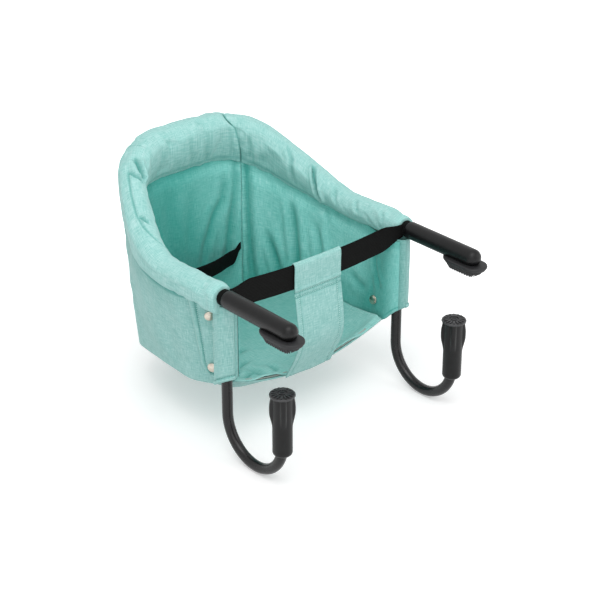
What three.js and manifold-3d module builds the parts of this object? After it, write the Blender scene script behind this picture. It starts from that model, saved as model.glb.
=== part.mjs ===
// Hook-on table chair: a padded cloth bucket seat on a bent tube hoop. Two arms rest on top of a
// table and two J-shaped hooks with screw clamps press up from below it.
// Millimetres, +Z up. The arms point to -Y, over the table. Left is -X, as seen from the front.
// Origin: midway between the two clamps, on the plane of the table top.

import * as THREE from 'three';
import { mergeVertices } from 'three/addons/utils/BufferGeometryUtils.js';
import Module from 'manifold-3d';

const wasm = await Module();
wasm.setup();

// Driving dimensions: fits
const GAP = 0.35;                 // between pieces that touch
const PLAY = 0.8;                 // around the hook's bracket where cloth wraps it
const LAP_PLAY = 1.6;             // between the flap and the wall that it laps

// Driving dimensions: steel tubes
const TUBE_D = 16;
const TUBE_WALL = 1.3;
const ARM_SPAN = 350;             // between the arm axes
const HOOK_INSET = 8;             // hook axis inboard of the arm axis
const HOOK_REACH = 121;           // from the clamp axis back to the hook's post
const TAPER_START = 169;          // where the hoop starts to narrow, behind the post
const HOOP_DEPTH = 424;           // from the clamp axis to the hoop's back
const HOOP_BACK_W = 216;          // width of the hoop's back, between its virtual corners
const HOOP_CORNER_R = 105;
const CORNER_SEAM = 31;           // corner seam, degrees round the bend from the back
const HOOP_BEND_R = 200;
const HOOP_RISE = 120;            // height of the curve that the hoop climbs to its back
const RISE_START = 109;           // where the hoop starts to climb, behind the post
const RISE_RUN = 250;             // length of that curve, which ends behind the hoop's back

// Driving dimensions: arms
const SLEEVE_D = 27;
const SLEEVE_AHEAD = 15;          // rear end of the sleeve ahead of the hook's post
const SLEEVE_TIP = -36;           // front of its dome
const SLEEVE_STOP = 13;           // solid plastic ahead of the tube's end
const SLEEVE_EDGE = 1.5;
const ARM_PAD_L = 76;
const ARM_PAD_W = 38;
const ARM_PAD_TIP = -46.5;
const ARM_PAD_FLOOR = 11.2;       // rubber under the sleeve
const ARM_PAD_H = 16;
const ARM_PAD_KEEL = 0.7;         // width of the underside as a share of the top's
const TOOTH_PITCH = 6.8;
const TOOTH_CUT = 2.8;            // width of the groove between two teeth
const TOOTH_DEPTH = 2.2;
const BELT_ROOM = 10;             // bare tube for the belt's loop, behind the sleeve

// Driving dimensions: clamps
const TABLE_GAP = 80;             // arm pad to clamp pad, clamp fully open
const KNOB_H = 93;
const KNOB_D = 28.5;
const KNOB_BORE_D = 20.4;
const KNOB_EDGE_R = 5;
const KNOB_CROWN = 6;             // plastic over the knob's cavity
const KNOB_SKIRT = 14;            // knob below the rod's flange, clamp fully open
const WING_R = 4.3;
const WING_REACH = 20;            // knob axis to the wing's outer side
const WING_H = 48;
const WING_COUNT = 4;
const DISC_D = 37;
const DISC_T = 3.4;
const DISC_EDGE = 0.7;
const DISC_BOSS_D = 9;
const RIB_COUNT = 16;
const RIB_W = 2.2;
const RIB_H = 1.5;
const RIB_MARGIN = 2.8;           // smooth disc inside and outside the ribs
const ROD_D = 10;
const ROD_FLANGE_T = 2;
const ROD_PLUG_L = 6;
const ROD_PLUG_PLAY = 1.4;
const ROD_CLEAR = 2;              // rod's tip below the pad screw, clamp fully open
const NUT_AF = 17;
const NUT_H = 12;
const STEM_D = 7;
const PAD_SCREW_D = 3.4;
const PAD_SCREW_HEAD_D = 6;
const PAD_SCREW_HEAD_T = 1;
const PAD_SCREW_SUNK = 1.6;       // head's seat below the disc's top
const PAD_WASHER_D = 9.6;
const PAD_WASHER_T = 1.6;

// Driving dimensions: hook brackets
const BRACKET_WALL = 2;
const BRACKET_L = 18;
const GUIDE_L = 18;
const GUIDE_DROP = 52;            // bracket foot below the arm axis
const COLLAR_D = 19;
const COLLAR_T = 4;
const HOOK_HEAD = 4;              // tube above its collar
const BRACKET_SCREW_D = 3.6;
const BRACKET_SCREW_HEAD_D = 8;
const BRACKET_SCREW_HEAD_T = 2;

// Driving dimensions: padded rim
const RIM_FRONT_R = 18;           // half thickness at the arms
const RIM_BACK_R = 20;            // half thickness at the back
const RIM_FRONT_OUT = 20;         // tube axis to the outer side, at the arms
const RIM_BACK_OUT = 25;          // tube axis to the outer side, at the back
const RIM_FRONT_DROP = 21;        // below the tube axis at the arms
const RIM_BACK_DROP = 52;         // below the tube axis at the back
const RIM_DRAW_IN = 0.34;         // how much the inner lower quarter narrows to its seam
const RIM_TUCK = 0.1;             // how deep a sewn tuck draws the pad in
const RIM_TUCK_W = 13;
const RIM_TUCK_FIRST = 80;        // first sewn tuck behind the hook's post
const RIM_TUCK_NEXT = 72;         // second tuck behind the first
const RIM_SLIM = 114;             // rim's slim part, from the hook's post back
const RIM_FULL = 22;              // rim's full section ahead of the hoop's back
const RIM_BORE_PLAY = 2;          // foam round the tube

// Driving dimensions: cloth
const PANEL_T = 4;
const FLAP_T = 3;
const BASE_T = 3;
const LINING_T = 2.4;
const LINING_GAP = 2.5;           // lining clear of the wall, at the seat
const SEAT_PLAY = 1.9;            // seat's edge clear of the lining
const LINING_INSET = 7;           // lining's top inside the hoop
const WALL_SHARE = 0.75;          // wall's top, as a share of the rim's outer reach
const WALL_TUCK = 0.94;           // wall's top, as a share of the rim's drop
const WALL_FOOT_IN = 10;          // wall's foot inside the hoop, along the sides
const WALL_FOOT_OUT = 4;          // wall's foot outside the hoop, at the back
const FOOT_TURN = 132;            // ahead of the hoop's back, where the foot starts to come out
const SEAT_DROP = 168;            // seat bottom below the table top
const SIDE_DROP = 146;            // wall's foot below the table top, along the sides
const SIDE_DROP_RUN = 105;        // over which the foot goes down to the sides' drop
const SEAT_DROP_AHEAD = 172;      // where the foot starts down to the seat's drop, ahead of the hoop's back
const SEAT_DROP_RUN = 160;        // over which it goes down
const CORNER_DROP = 118;          // front corners of the cloth below the table top
const HEM_SAG = 45;               // middle of the front hem below its corners
const HEM_SETBACK = 40;           // middle of the front hem behind the cloth's front fold
const FOLD_AHEAD = 18;            // front fold of the cloth ahead of the hook
const WRAP_RUN = 85;              // behind the hook, where the wall comes back under the rim
const FLAP_TOP_L = 80;            // flap, from its front fold to its rear edge, at the top
const FLAP_LOW_L = 70;            // the same at its hem
const WALL_BULGE = 6;
const FOLD_DEPTH = 3.5;           // soft folds down the walls
const CROTCH_W = 88;
const CROTCH_T = 2.4;
const CROTCH_CURL = 12;           // how far the tab's lower edges curl forward
const CROTCH_BELLY = 20;          // how far the tab bows forward between its hem and the belt
const LOOP_SEAM = 6;              // tab's loop seam below the belt
const BELT_W = 38;
const BELT_T = 2;
const WAIST_BELT_W = 25;
const WAIST_BELT_SPAN = 172;      // between its ends, round the back
const WAIST_BELT_Z = -84;
const WAIST_BELT_LIFT = 0.2;      // clear of the lining at its ends
const WAIST_BELT_BOW = 30;        // how far its middle stands off the lining
const BOARD_W = 160;
const BOARD_L = 196;
const BOARD_T = 3;
const BOARD_R = 18;

// Driving dimensions: snap fasteners
const SNAP_D = 12;
const SNAP_T = 2.6;
const SNAP_SHANK_D = 4;
const SNAP_BACK = 32;             // snaps behind the hook's axis
const SNAP_TOP_Z = -19;
const SNAP_LOW_Z = -104;
const SNAP_SEAT = 2;                // room under a cap or stud for the cloth's curve

// Derived places
const TUBE_R = TUBE_D / 2;
const ARM_X = ARM_SPAN / 2;
const ARM_Z = ARM_PAD_FLOOR + GAP + SLEEVE_D / 2;
const HOOK_X = ARM_X - HOOK_INSET;
const BEND_R = HOOK_REACH / 2;
const DISC_TOP = -TABLE_GAP;
const KNOB_TOP = DISC_TOP - DISC_T - RIB_H - GAP;
const KNOB_BOTTOM = KNOB_TOP - KNOB_H;
const FOLD_Y = HOOK_REACH - FOLD_AHEAD;
const TAPER_Y = HOOK_REACH + TAPER_START;
const RISE_Y = HOOK_REACH + RISE_START;
const ROD_SEAT = KNOB_BOTTOM + KNOB_SKIRT;
const NUT_BOTTOM = ROD_SEAT + ROD_FLANGE_T + 2 * GAP;
const CAVITY_TOP = KNOB_TOP - KNOB_CROWN;
const STEM_END = CAVITY_TOP - GAP;
const WASHER_TOP = STEM_END - GAP;
const ROD_TOP = WASHER_TOP - PAD_WASHER_T - ROD_CLEAR;
const FOOT_R = TUBE_R + GAP + BRACKET_WALL;
const WEB_OUT = HOOK_X + COLLAR_D / 2 + GAP + BRACKET_WALL;
const FOOT_BOTTOM = ARM_Z - GUIDE_DROP;
const FOOT_TOP = FOOT_BOTTOM + GUIDE_L;
const COLLAR_BOTTOM = FOOT_TOP + GAP;
const HOOK_TOP = COLLAR_BOTTOM + COLLAR_T + HOOK_HEAD;
const SLEEVE_BASE = HOOK_REACH - SLEEVE_AHEAD;
const RIM_START = SLEEVE_BASE + BELT_ROOM;
const BRACKET_FRONT = RIM_START + 1;

const mix = THREE.MathUtils.lerp;
const ease = THREE.MathUtils.smoothstep;
const SIDES = [['left', -1], ['right', 1]];

// Materials
const MINT = { color: 0x8fcfc3, roughness: 0.9, metalness: 0 };
const MINT_DARK = { color: 0x6fb5a8, roughness: 0.9, metalness: 0 };
const BLACK_STEEL = { color: 0x242527, roughness: 0.35, metalness: 0.6 };
const BLACK_PLASTIC = { color: 0x232325, roughness: 0.5, metalness: 0 };
const BLACK_RUBBER = { color: 0x1c1c1d, roughness: 0.8, metalness: 0 };
const WEBBING = { color: 0x161617, roughness: 0.85, metalness: 0 };
const NICKEL = { color: 0xd8d2c6, roughness: 0.25, metalness: 1 };
const ZINC = { color: 0xb4b6b8, roughness: 0.4, metalness: 1 };
const BOARD_GREY = { color: 0x6e7472, roughness: 0.7, metalness: 0 };

const chair = new THREE.Group();

function addPiece(name, geometry, look) {
  const mesh = new THREE.Mesh(geometry, new THREE.MeshStandardMaterial(look));
  mesh.name = name;
  chair.add(mesh);
}

// Solids: closed meshes, and joins and cuts between them
function solid(geometry) {
  const bare = geometry.clone();
  bare.deleteAttribute('normal');
  bare.deleteAttribute('uv');
  const merged = mergeVertices(bare, 1e-3);
  return new wasm.Manifold(new wasm.Mesh({
    numProp: 3,
    vertProperties: new Float32Array(merged.attributes.position.array),
    triVerts: new Uint32Array(merged.index.array),
  }));
}

function geometryOf(manifold) {
  const mesh = manifold.getMesh();
  return meshOf(mesh.vertProperties, mesh.triVerts);
}

function meshOf(positions, triangles) {
  const geometry = new THREE.BufferGeometry();
  geometry.setAttribute('position', new THREE.BufferAttribute(new Float32Array(positions), 3));
  geometry.setIndex([...triangles]);
  geometry.computeVertexNormals();
  return geometry;
}

function joined(first, ...others) {
  const body = others.reduce((sum, each) => sum.add(solid(each)), solid(first));
  return geometryOf(body);
}

function carved(first, ...others) {
  const body = others.reduce((rest, each) => rest.subtract(solid(each)), solid(first));
  return geometryOf(body);
}

// A triangle mesh whose faces all point the same way, turned so that they point out
function closedMesh(points, triangles) {
  let volume = 0;
  for (const [a, b, c] of triangles) {
    volume += points[a].dot(new THREE.Vector3().crossVectors(points[b], points[c]));
  }
  const outward = volume > 0 ? triangles : triangles.map(([a, b, c]) => [a, c, b]);
  return meshOf(points.flatMap((p) => p.toArray()), outward.flat());
}

// A round bar between two points
function bar(start, end, radius, sides = 20) {
  const along = new THREE.Vector3().subVectors(end, start);
  const geometry = new THREE.CylinderGeometry(radius, radius, along.length(), sides);
  const turn = new THREE.Quaternion().setFromUnitVectors(
    new THREE.Vector3(0, 1, 0), along.clone().normalize());
  geometry.applyQuaternion(turn);
  const middle = new THREE.Vector3().addVectors(start, end).multiplyScalar(0.5);
  geometry.translate(middle.x, middle.y, middle.z);
  return geometry;
}

function block(x0, x1, y0, y1, z0, z1) {
  const geometry = new THREE.BoxGeometry(x1 - x0, y1 - y0, z1 - z0);
  geometry.translate((x0 + x1) / 2, (y0 + y1) / 2, (z0 + z1) / 2);
  return geometry;
}

// A turned piece standing on +Z. The profile holds [radius, height] pairs.
function turned(profile, sides, x, y) {
  const outline = profile.map(([r, h]) => new THREE.Vector2(r, h));
  const geometry = new THREE.LatheGeometry(outline, sides);
  geometry.rotateX(Math.PI / 2);
  geometry.translate(x, y, 0);
  return geometry;
}

function ringShape(outer, inner, sides) {
  const shape = new THREE.Shape();
  const hole = new THREE.Path();
  for (let i = 0; i <= sides; i += 1) {
    const angle = (i / sides) * 2 * Math.PI;
    const move = i === 0 ? 'moveTo' : 'lineTo';
    shape[move](outer * Math.cos(angle), outer * Math.sin(angle));
    hole[move](inner * Math.cos(-angle), inner * Math.sin(-angle));
  }
  shape.holes.push(hole);
  return shape;
}

function tubeAlong(curve, steps, sides) {
  const section = ringShape(TUBE_R, TUBE_R - TUBE_WALL, sides);
  return new THREE.ExtrudeGeometry(section, { steps, extrudePath: curve, curveSegments: 1 });
}

// A cloth sheet: a grid of points thickened by half its thickness to each side
function sheet(grid, thickness) {
  const rows = grid.length;
  const columns = grid[0].length;
  const points = [];
  const half = thickness / 2;
  for (const side of [half, -half]) {
    for (let i = 0; i < rows; i += 1) {
      for (let j = 0; j < columns; j += 1) {
        const alongRow = new THREE.Vector3().subVectors(
          grid[Math.min(i + 1, rows - 1)][j], grid[Math.max(i - 1, 0)][j]);
        const alongColumn = new THREE.Vector3().subVectors(
          grid[i][Math.min(j + 1, columns - 1)], grid[i][Math.max(j - 1, 0)]);
        const normal = alongRow.cross(alongColumn).normalize();
        points.push(grid[i][j].clone().addScaledVector(normal, side));
      }
    }
  }
  const upper = (i, j) => i * columns + j;
  const lower = (i, j) => rows * columns + i * columns + j;
  const triangles = [];
  const quad = (a, b, c, d) => triangles.push([a, b, c], [a, c, d]);
  for (let i = 0; i < rows - 1; i += 1) {
    for (let j = 0; j < columns - 1; j += 1) {
      quad(upper(i, j), upper(i + 1, j), upper(i + 1, j + 1), upper(i, j + 1));
      quad(lower(i, j), lower(i, j + 1), lower(i + 1, j + 1), lower(i + 1, j));
    }
    quad(upper(i, 0), lower(i, 0), lower(i + 1, 0), upper(i + 1, 0));
    const last = columns - 1;
    quad(upper(i, last), upper(i + 1, last), lower(i + 1, last), lower(i, last));
  }
  for (let j = 0; j < columns - 1; j += 1) {
    quad(upper(0, j), upper(0, j + 1), lower(0, j + 1), lower(0, j));
    const last = rows - 1;
    quad(upper(last, j), lower(last, j), lower(last, j + 1), upper(last, j + 1));
  }
  return closedMesh(points, triangles);
}

// A pad lofted through rings of points, with a bore through it from end to end
function boredLoft(outerRings, innerRings) {
  const count = outerRings[0].length;
  const rings = outerRings.length;
  const points = [...outerRings.flat(), ...innerRings.flat()];
  const outer = (i, k) => i * count + (k % count);
  const inner = (i, k) => rings * count + i * count + (k % count);
  const triangles = [];
  const quad = (a, b, c, d) => triangles.push([a, b, c], [a, c, d]);
  for (let k = 0; k < count; k += 1) {
    for (let i = 0; i < rings - 1; i += 1) {
      quad(outer(i, k), outer(i + 1, k), outer(i + 1, k + 1), outer(i, k + 1));
      quad(inner(i, k), inner(i, k + 1), inner(i + 1, k + 1), inner(i + 1, k));
    }
    const last = rings - 1;
    quad(outer(0, k), outer(0, k + 1), inner(0, k + 1), inner(0, k));
    quad(outer(last, k), inner(last, k), inner(last, k + 1), outer(last, k + 1));
  }
  return closedMesh(points, triangles);
}

// Hoop: its plan runs from the left arm round the back to the right arm and rises to the back
function hoopHeight(y) {
  return ARM_Z + HOOP_RISE * ease(y, RISE_Y, RISE_Y + RISE_RUN);
}

function hoopPlan() {
  const taper = Math.atan2(ARM_X - HOOP_BACK_W / 2, HOOP_DEPTH - TAPER_Y);
  const bendLead = HOOP_BEND_R * Math.tan(taper / 2);
  const turn = Math.PI / 2 - taper;
  const cornerLead = HOOP_CORNER_R * Math.tan(turn / 2);
  const cornerX = HOOP_BACK_W / 2 - cornerLead;
  const plan = new THREE.Path();
  plan.moveTo(-ARM_X, SLEEVE_TIP + SLEEVE_STOP);
  plan.lineTo(-ARM_X, TAPER_Y - bendLead);
  plan.absarc(HOOP_BEND_R - ARM_X, TAPER_Y - bendLead, HOOP_BEND_R, Math.PI, Math.PI - taper, true);
  plan.absarc(-cornerX, HOOP_DEPTH - HOOP_CORNER_R, HOOP_CORNER_R, Math.PI - taper, Math.PI / 2, true);
  plan.absarc(cornerX, HOOP_DEPTH - HOOP_CORNER_R, HOOP_CORNER_R, Math.PI / 2, taper, true);
  plan.absarc(ARM_X - HOOP_BEND_R, TAPER_Y - bendLead, HOOP_BEND_R, taper, 0, true);
  plan.lineTo(ARM_X, SLEEVE_TIP + SLEEVE_STOP);
  return plan;
}

class HoopCurve extends THREE.Curve {
  constructor() {
    super();
    this.plan = hoopPlan();
    this.arcLengthDivisions = 800;
  }

  getPoint(t, target = new THREE.Vector3()) {
    const flat = this.plan.getPoint(t);
    return target.set(flat.x, flat.y, hoopHeight(flat.y));
  }
}

const hoop = new HoopCurve();

// A place on the hoop, as a share of its plan's length: the point and the way out of the seat
function hoopFrame(share) {
  const point = hoop.getPoint(share);
  const way = hoop.plan.getTangent(share);
  return { point, out: new THREE.Vector3(-way.y, way.x, 0).normalize() };
}

// Share of the plan's length at which the right half of the hoop reaches a given y
function shareAtY(y) {
  let low = 0.5;
  let high = 1;
  for (let step = 0; step < 40; step += 1) {
    const middle = (low + high) / 2;
    if (hoop.plan.getPoint(middle).y > y) low = middle;
    else high = middle;
  }
  return low;
}

const HOOP_LENGTH = hoop.plan.getLength();
const CORNER_TURN = THREE.MathUtils.degToRad(CORNER_SEAM);
const CORNER_SHARE = shareAtY(HOOP_DEPTH - HOOP_CORNER_R * (1 - Math.cos(CORNER_TURN)));
const RIM_END_SHARE = shareAtY(RIM_START);

// Steel: hoop tube, and a bracket with its screw on each side
function bracketScrewHole(side) {
  const y = BRACKET_FRONT + BRACKET_L / 2;
  const start = new THREE.Vector3(side * (ARM_X + TUBE_R / 2), y, ARM_Z);
  const end = new THREE.Vector3(side * (ARM_X + TUBE_D), y, ARM_Z);
  return bar(start, end, BRACKET_SCREW_D / 2 + GAP, 12);
}

function buildHoop() {
  const tube = tubeAlong(hoop, 38, 10);
  addPiece('hoop_tube', carved(tube, ...SIDES.map(([, side]) => bracketScrewHole(side))), BLACK_STEEL);
}

function buildBracket(name, side) {
  const back = BRACKET_FRONT + BRACKET_L;
  const middle = BRACKET_FRONT + BRACKET_L / 2;
  const alongArm = (radius, from, to) => bar(
    new THREE.Vector3(side * ARM_X, from, ARM_Z), new THREE.Vector3(side * ARM_X, to, ARM_Z), radius);
  const alongPost = (radius, from, to) => bar(
    new THREE.Vector3(side * HOOK_X, HOOK_REACH, from),
    new THREE.Vector3(side * HOOK_X, HOOK_REACH, to), radius);
  const edges = [side * (WEB_OUT - BRACKET_WALL), side * WEB_OUT].sort((a, b) => a - b);
  const web = block(edges[0], edges[1], BRACKET_FRONT, HOOK_REACH, FOOT_BOTTOM, ARM_Z);
  const body = joined(web, alongArm(FOOT_R, BRACKET_FRONT, back), alongPost(FOOT_R, FOOT_BOTTOM, FOOT_TOP));
  const bracket = carved(body,
    alongArm(TUBE_R + GAP, BRACKET_FRONT - 1, back + 1),
    alongPost(TUBE_R + GAP, FOOT_BOTTOM - 1, FOOT_TOP + 1),
    bracketScrewHole(side));
  addPiece(`${name}_hook_bracket`, bracket, ZINC);

  const headSeat = ARM_X + FOOT_R + GAP;
  const place = (x) => new THREE.Vector3(side * x, middle, ARM_Z);
  const shank = bar(place(ARM_X + TUBE_R - TUBE_WALL), place(headSeat + 0.5), BRACKET_SCREW_D / 2, 12);
  const head = bar(place(headSeat), place(headSeat + BRACKET_SCREW_HEAD_T), BRACKET_SCREW_HEAD_D / 2, 14);
  addPiece(`${name}_bracket_screw`, joined(shank, head), ZINC);
}

// Arms: a plastic sleeve with a domed end, and a toothed rubber pad under it
function buildSleeve(name, side) {
  const length = SLEEVE_BASE - SLEEVE_TIP;
  const r = SLEEVE_D / 2;
  const bore = TUBE_R + GAP;
  const profile = [[0, length]];
  for (let i = 1; i <= 5; i += 1) {
    const angle = (i / 5) * (Math.PI / 2);
    profile.push([r * Math.sin(angle), length - r * (1 - Math.cos(angle))]);
  }
  const stop = length - SLEEVE_STOP + GAP;
  profile.push([r, SLEEVE_EDGE], [r - SLEEVE_EDGE, 0], [bore, 0], [bore, stop], [0, stop]);
  const sleeve = turned(profile.reverse(), 18, 0, 0);
  sleeve.rotateX(Math.PI / 2);
  sleeve.translate(side * ARM_X, SLEEVE_BASE, ARM_Z);
  addPiece(`${name}_arm_sleeve`, sleeve, BLACK_PLASTIC);
}

function buildArmPad(name, side) {
  const r = ARM_PAD_W / 2;
  const outline = new THREE.Shape();
  outline.absarc(0, ARM_PAD_TIP + r, r, Math.PI, 2 * Math.PI, false);
  outline.absellipse(0, ARM_PAD_TIP + ARM_PAD_L - r * 1.3, r, r * 1.3, 0, Math.PI, false, 0);
  const body = new THREE.ExtrudeGeometry(
    outline, { depth: ARM_PAD_H, steps: 2, bevelEnabled: false, curveSegments: 8 });
  const middleY = ARM_PAD_TIP + ARM_PAD_L / 2;
  const places = body.attributes.position;
  for (let i = 0; i < places.count; i += 1) {
    if (places.getZ(i) > 0) continue;
    places.setX(i, places.getX(i) * ARM_PAD_KEEL);
    places.setY(i, middleY + (places.getY(i) - middleY) * (1 + ARM_PAD_KEEL) / 2);
  }
  body.translate(side * ARM_X, 0, 0);
  const saddle = bar(
    new THREE.Vector3(side * ARM_X, SLEEVE_TIP + SLEEVE_D / 2, ARM_Z),
    new THREE.Vector3(side * ARM_X, SLEEVE_BASE, ARM_Z), SLEEVE_D / 2 + GAP, 24);
  const dome = new THREE.SphereGeometry(SLEEVE_D / 2 + GAP, 24, 14);
  dome.translate(side * ARM_X, SLEEVE_TIP + SLEEVE_D / 2, ARM_Z);
  const grooves = [];
  for (let y = TOOTH_PITCH / 2; y < ARM_PAD_L / 2 - TOOTH_PITCH; y += TOOTH_PITCH) {
    for (const way of [-1, 1]) {
      const middle = middleY + way * y;
      grooves.push(block(side * ARM_X - ARM_PAD_W, side * ARM_X + ARM_PAD_W,
        middle - TOOTH_CUT / 2, middle + TOOTH_CUT / 2, -1, TOOTH_DEPTH));
    }
  }
  addPiece(`${name}_arm_pad`, carved(body, saddle, dome, ...grooves), BLACK_RUBBER);
}

// Hooks: a J-shaped tube that turns in its bracket, held up there by a collar
class HookCurve extends THREE.Curve {
  constructor(side) {
    super();
    this.x = side * HOOK_X;
    this.post = HOOK_TOP - ROD_SEAT;
    this.bend = Math.PI * BEND_R;
  }

  getPoint(t, target = new THREE.Vector3()) {
    const run = t * (this.post + this.bend);
    if (run < this.post) return target.set(this.x, HOOK_REACH, HOOK_TOP - run);
    const angle = (run - this.post) / BEND_R;
    return target.set(this.x, BEND_R + BEND_R * Math.cos(angle), ROD_SEAT - BEND_R * Math.sin(angle));
  }
}

function buildHook(name, side) {
  const x = side * HOOK_X;
  addPiece(`${name}_hook_tube`, tubeAlong(new HookCurve(side), 22, 10), BLACK_STEEL);
  const collar = turned([
    [TUBE_R + GAP, COLLAR_BOTTOM], [COLLAR_D / 2, COLLAR_BOTTOM], [COLLAR_D / 2, COLLAR_BOTTOM + COLLAR_T],
    [TUBE_R + GAP, COLLAR_BOTTOM + COLLAR_T], [TUBE_R + GAP, COLLAR_BOTTOM],
  ], 20, x, HOOK_REACH);
  addPiece(`${name}_hook_collar`, collar, ZINC);
  const plugR = TUBE_R - TUBE_WALL - ROD_PLUG_PLAY;
  const seat = ROD_SEAT + GAP;
  const rod = turned([
    [0, ROD_SEAT - ROD_PLUG_L], [plugR, ROD_SEAT - ROD_PLUG_L], [plugR, seat], [TUBE_R, seat],
    [TUBE_R, seat + ROD_FLANGE_T], [ROD_D / 2, seat + ROD_FLANGE_T], [ROD_D / 2, ROD_TOP - 1],
    [ROD_D / 2 - 1, ROD_TOP], [0, ROD_TOP],
  ], 16, x, 0);
  addPiece(`${name}_threaded_rod`, rod, ZINC);
}

// Clamps: a winged knob with a nut in it, and a ribbed rubber disc that the knob carries
function buildKnob(name, side, wingTurn) {
  const x = side * HOOK_X;
  const r = KNOB_D / 2;
  const bore = KNOB_BORE_D / 2;
  const nutTop = NUT_BOTTOM + NUT_H + GAP;
  const cavity = PAD_WASHER_D / 2 + GAP;
  const stem = STEM_D / 2 + GAP;
  const edge = KNOB_EDGE_R;
  const barrel = turned([
    [bore, KNOB_BOTTOM], [r - edge * 0.7, KNOB_BOTTOM], [r - edge * 0.2, KNOB_BOTTOM + edge * 0.4],
    [r, KNOB_BOTTOM + edge], [r, KNOB_TOP - 2], [r - 1.5, KNOB_TOP], [stem, KNOB_TOP], [stem, CAVITY_TOP],
    [cavity, CAVITY_TOP], [cavity, nutTop], [bore, nutTop], [bore, KNOB_BOTTOM],
  ], 20, x, 0);
  const wings = [];
  const lowEnd = KNOB_TOP - WING_H;
  for (let i = 0; i < WING_COUNT; i += 1) {
    const angle = wingTurn + (i / WING_COUNT) * 2 * Math.PI;
    const out = WING_REACH - WING_R;
    const profile = [[0, lowEnd]];
    for (let k = 1; k <= 3; k += 1) {
      const bend = (k / 3) * (Math.PI / 2);
      profile.push([WING_R * Math.sin(bend), lowEnd + 2 * WING_R * (1 - Math.cos(bend))]);
    }
    profile.push([WING_R, KNOB_TOP - WING_R], [WING_R * 0.6, KNOB_TOP - 1], [0, KNOB_TOP - 1]);
    wings.push(turned(profile, 8, x + out * Math.cos(angle), out * Math.sin(angle)));
  }
  addPiece(`${name}_knob`, joined(barrel, ...wings), BLACK_PLASTIC);

  const nutR = NUT_AF / Math.sqrt(3);
  const nut = new THREE.CylinderGeometry(nutR, nutR, NUT_H, 6);
  nut.rotateX(Math.PI / 2);
  nut.translate(x, 0, NUT_BOTTOM + NUT_H / 2);
  const thread = bar(
    new THREE.Vector3(x, 0, NUT_BOTTOM - 1),
    new THREE.Vector3(x, 0, NUT_BOTTOM + NUT_H + 1), ROD_D / 2 + GAP, 16);
  addPiece(`${name}_knob_nut`, carved(nut, thread), ZINC);
}

function buildClampPad(name, side) {
  const x = side * HOOK_X;
  const low = KNOB_TOP + GAP;
  const top = DISC_TOP - RIB_H;
  const hole = PAD_SCREW_D / 2 + GAP;
  const headHole = PAD_SCREW_HEAD_D / 2 + GAP;
  const headSeat = DISC_TOP - PAD_SCREW_SUNK;
  const r = DISC_D / 2;
  const disc = turned([
    [hole, STEM_END], [STEM_D / 2, STEM_END], [STEM_D / 2, low], [r - DISC_EDGE, low], [r, low + DISC_EDGE],
    [r, top - DISC_EDGE], [r - DISC_EDGE, top], [DISC_BOSS_D / 2, top], [DISC_BOSS_D / 2, DISC_TOP],
    [headHole, DISC_TOP], [headHole, headSeat], [hole, headSeat], [hole, STEM_END],
  ], 16, x, 0);
  const ribs = [];
  for (let i = 0; i < RIB_COUNT; i += 1) {
    const rib = block(DISC_BOSS_D / 2 + RIB_MARGIN, DISC_D / 2 - RIB_MARGIN, -RIB_W / 2, RIB_W / 2,
      top - 1, DISC_TOP);
    rib.rotateZ((i / RIB_COUNT) * 2 * Math.PI);
    rib.translate(x, 0, 0);
    ribs.push(rib);
  }
  addPiece(`${name}_clamp_pad`, joined(disc, ...ribs), BLACK_RUBBER);

  const shank = PAD_SCREW_D / 2;
  const washer = PAD_WASHER_D / 2;
  const head = PAD_SCREW_HEAD_D / 2;
  const headLow = headSeat + GAP;
  const screw = turned([
    [0, WASHER_TOP - PAD_WASHER_T], [washer, WASHER_TOP - PAD_WASHER_T], [washer, WASHER_TOP],
    [shank, WASHER_TOP], [shank, headLow], [head, headLow],
    [head, headLow + PAD_SCREW_HEAD_T * 0.7], [0, headLow + PAD_SCREW_HEAD_T],
  ], 14, x, 0);
  addPiece(`${name}_pad_screw`, screw, ZINC);
}

// Rim: three padded lengths round the hoop, drawn in at the sewn tucks
const RIM_POINTS = 14;
const BRACKET_CLEAR = BRACKET_FRONT + BRACKET_L + 2;
const TUCK_Y = HOOK_REACH + RIM_TUCK_FIRST;
const RIM_TUCKS = [shareAtY(TUCK_Y), shareAtY(TUCK_Y + RIM_TUCK_NEXT), CORNER_SHARE];

const BRACKET_SHARES = [shareAtY(BRACKET_CLEAR), shareAtY(BRACKET_CLEAR + 5)];
const BRACKET_STEPS = [...BRACKET_SHARES, ...BRACKET_SHARES.map((at) => 1 - at)];

function tuckDepth(share) {
  const mirrored = Math.max(share, 1 - share);
  return RIM_TUCKS.reduce((sum, at) => {
    const off = ((mirrored - at) * HOOP_LENGTH) / RIM_TUCK_W;
    return sum + RIM_TUCK * Math.exp(-off * off);
  }, 0);
}

// From 0 where the rim is slim, along the arms, to 1 at its full section
function rimGrowth(y) {
  return ease(y, HOOK_REACH + RIM_SLIM, HOOP_DEPTH - RIM_FULL);
}

function rimDrop(y) {
  return mix(RIM_FRONT_DROP, RIM_BACK_DROP, rimGrowth(y));
}

function rimRadius(y) {
  return mix(RIM_FRONT_R, RIM_BACK_R, rimGrowth(y));
}

function rimOut(y) {
  return mix(RIM_FRONT_OUT, RIM_BACK_OUT, rimGrowth(y));
}

// Rim's section: the way out and up from the tube's axis. Its outer lower quarter is the fullest.
function rimSection(y, angle, swell) {
  const rise = Math.sin(angle);
  const across = Math.cos(angle);
  const radius = rimRadius(y) * swell;
  const outward = rimOut(y) * swell;
  if (rise >= 0) return [across * (across > 0 ? outward : radius), radius * rise];
  if (across > 0) return [outward * Math.sqrt(across), -rimDrop(y) * Math.sqrt(-rise)];
  return [radius * across * (1 - RIM_DRAW_IN * rise * rise), rimDrop(y) * rise];
}

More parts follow.
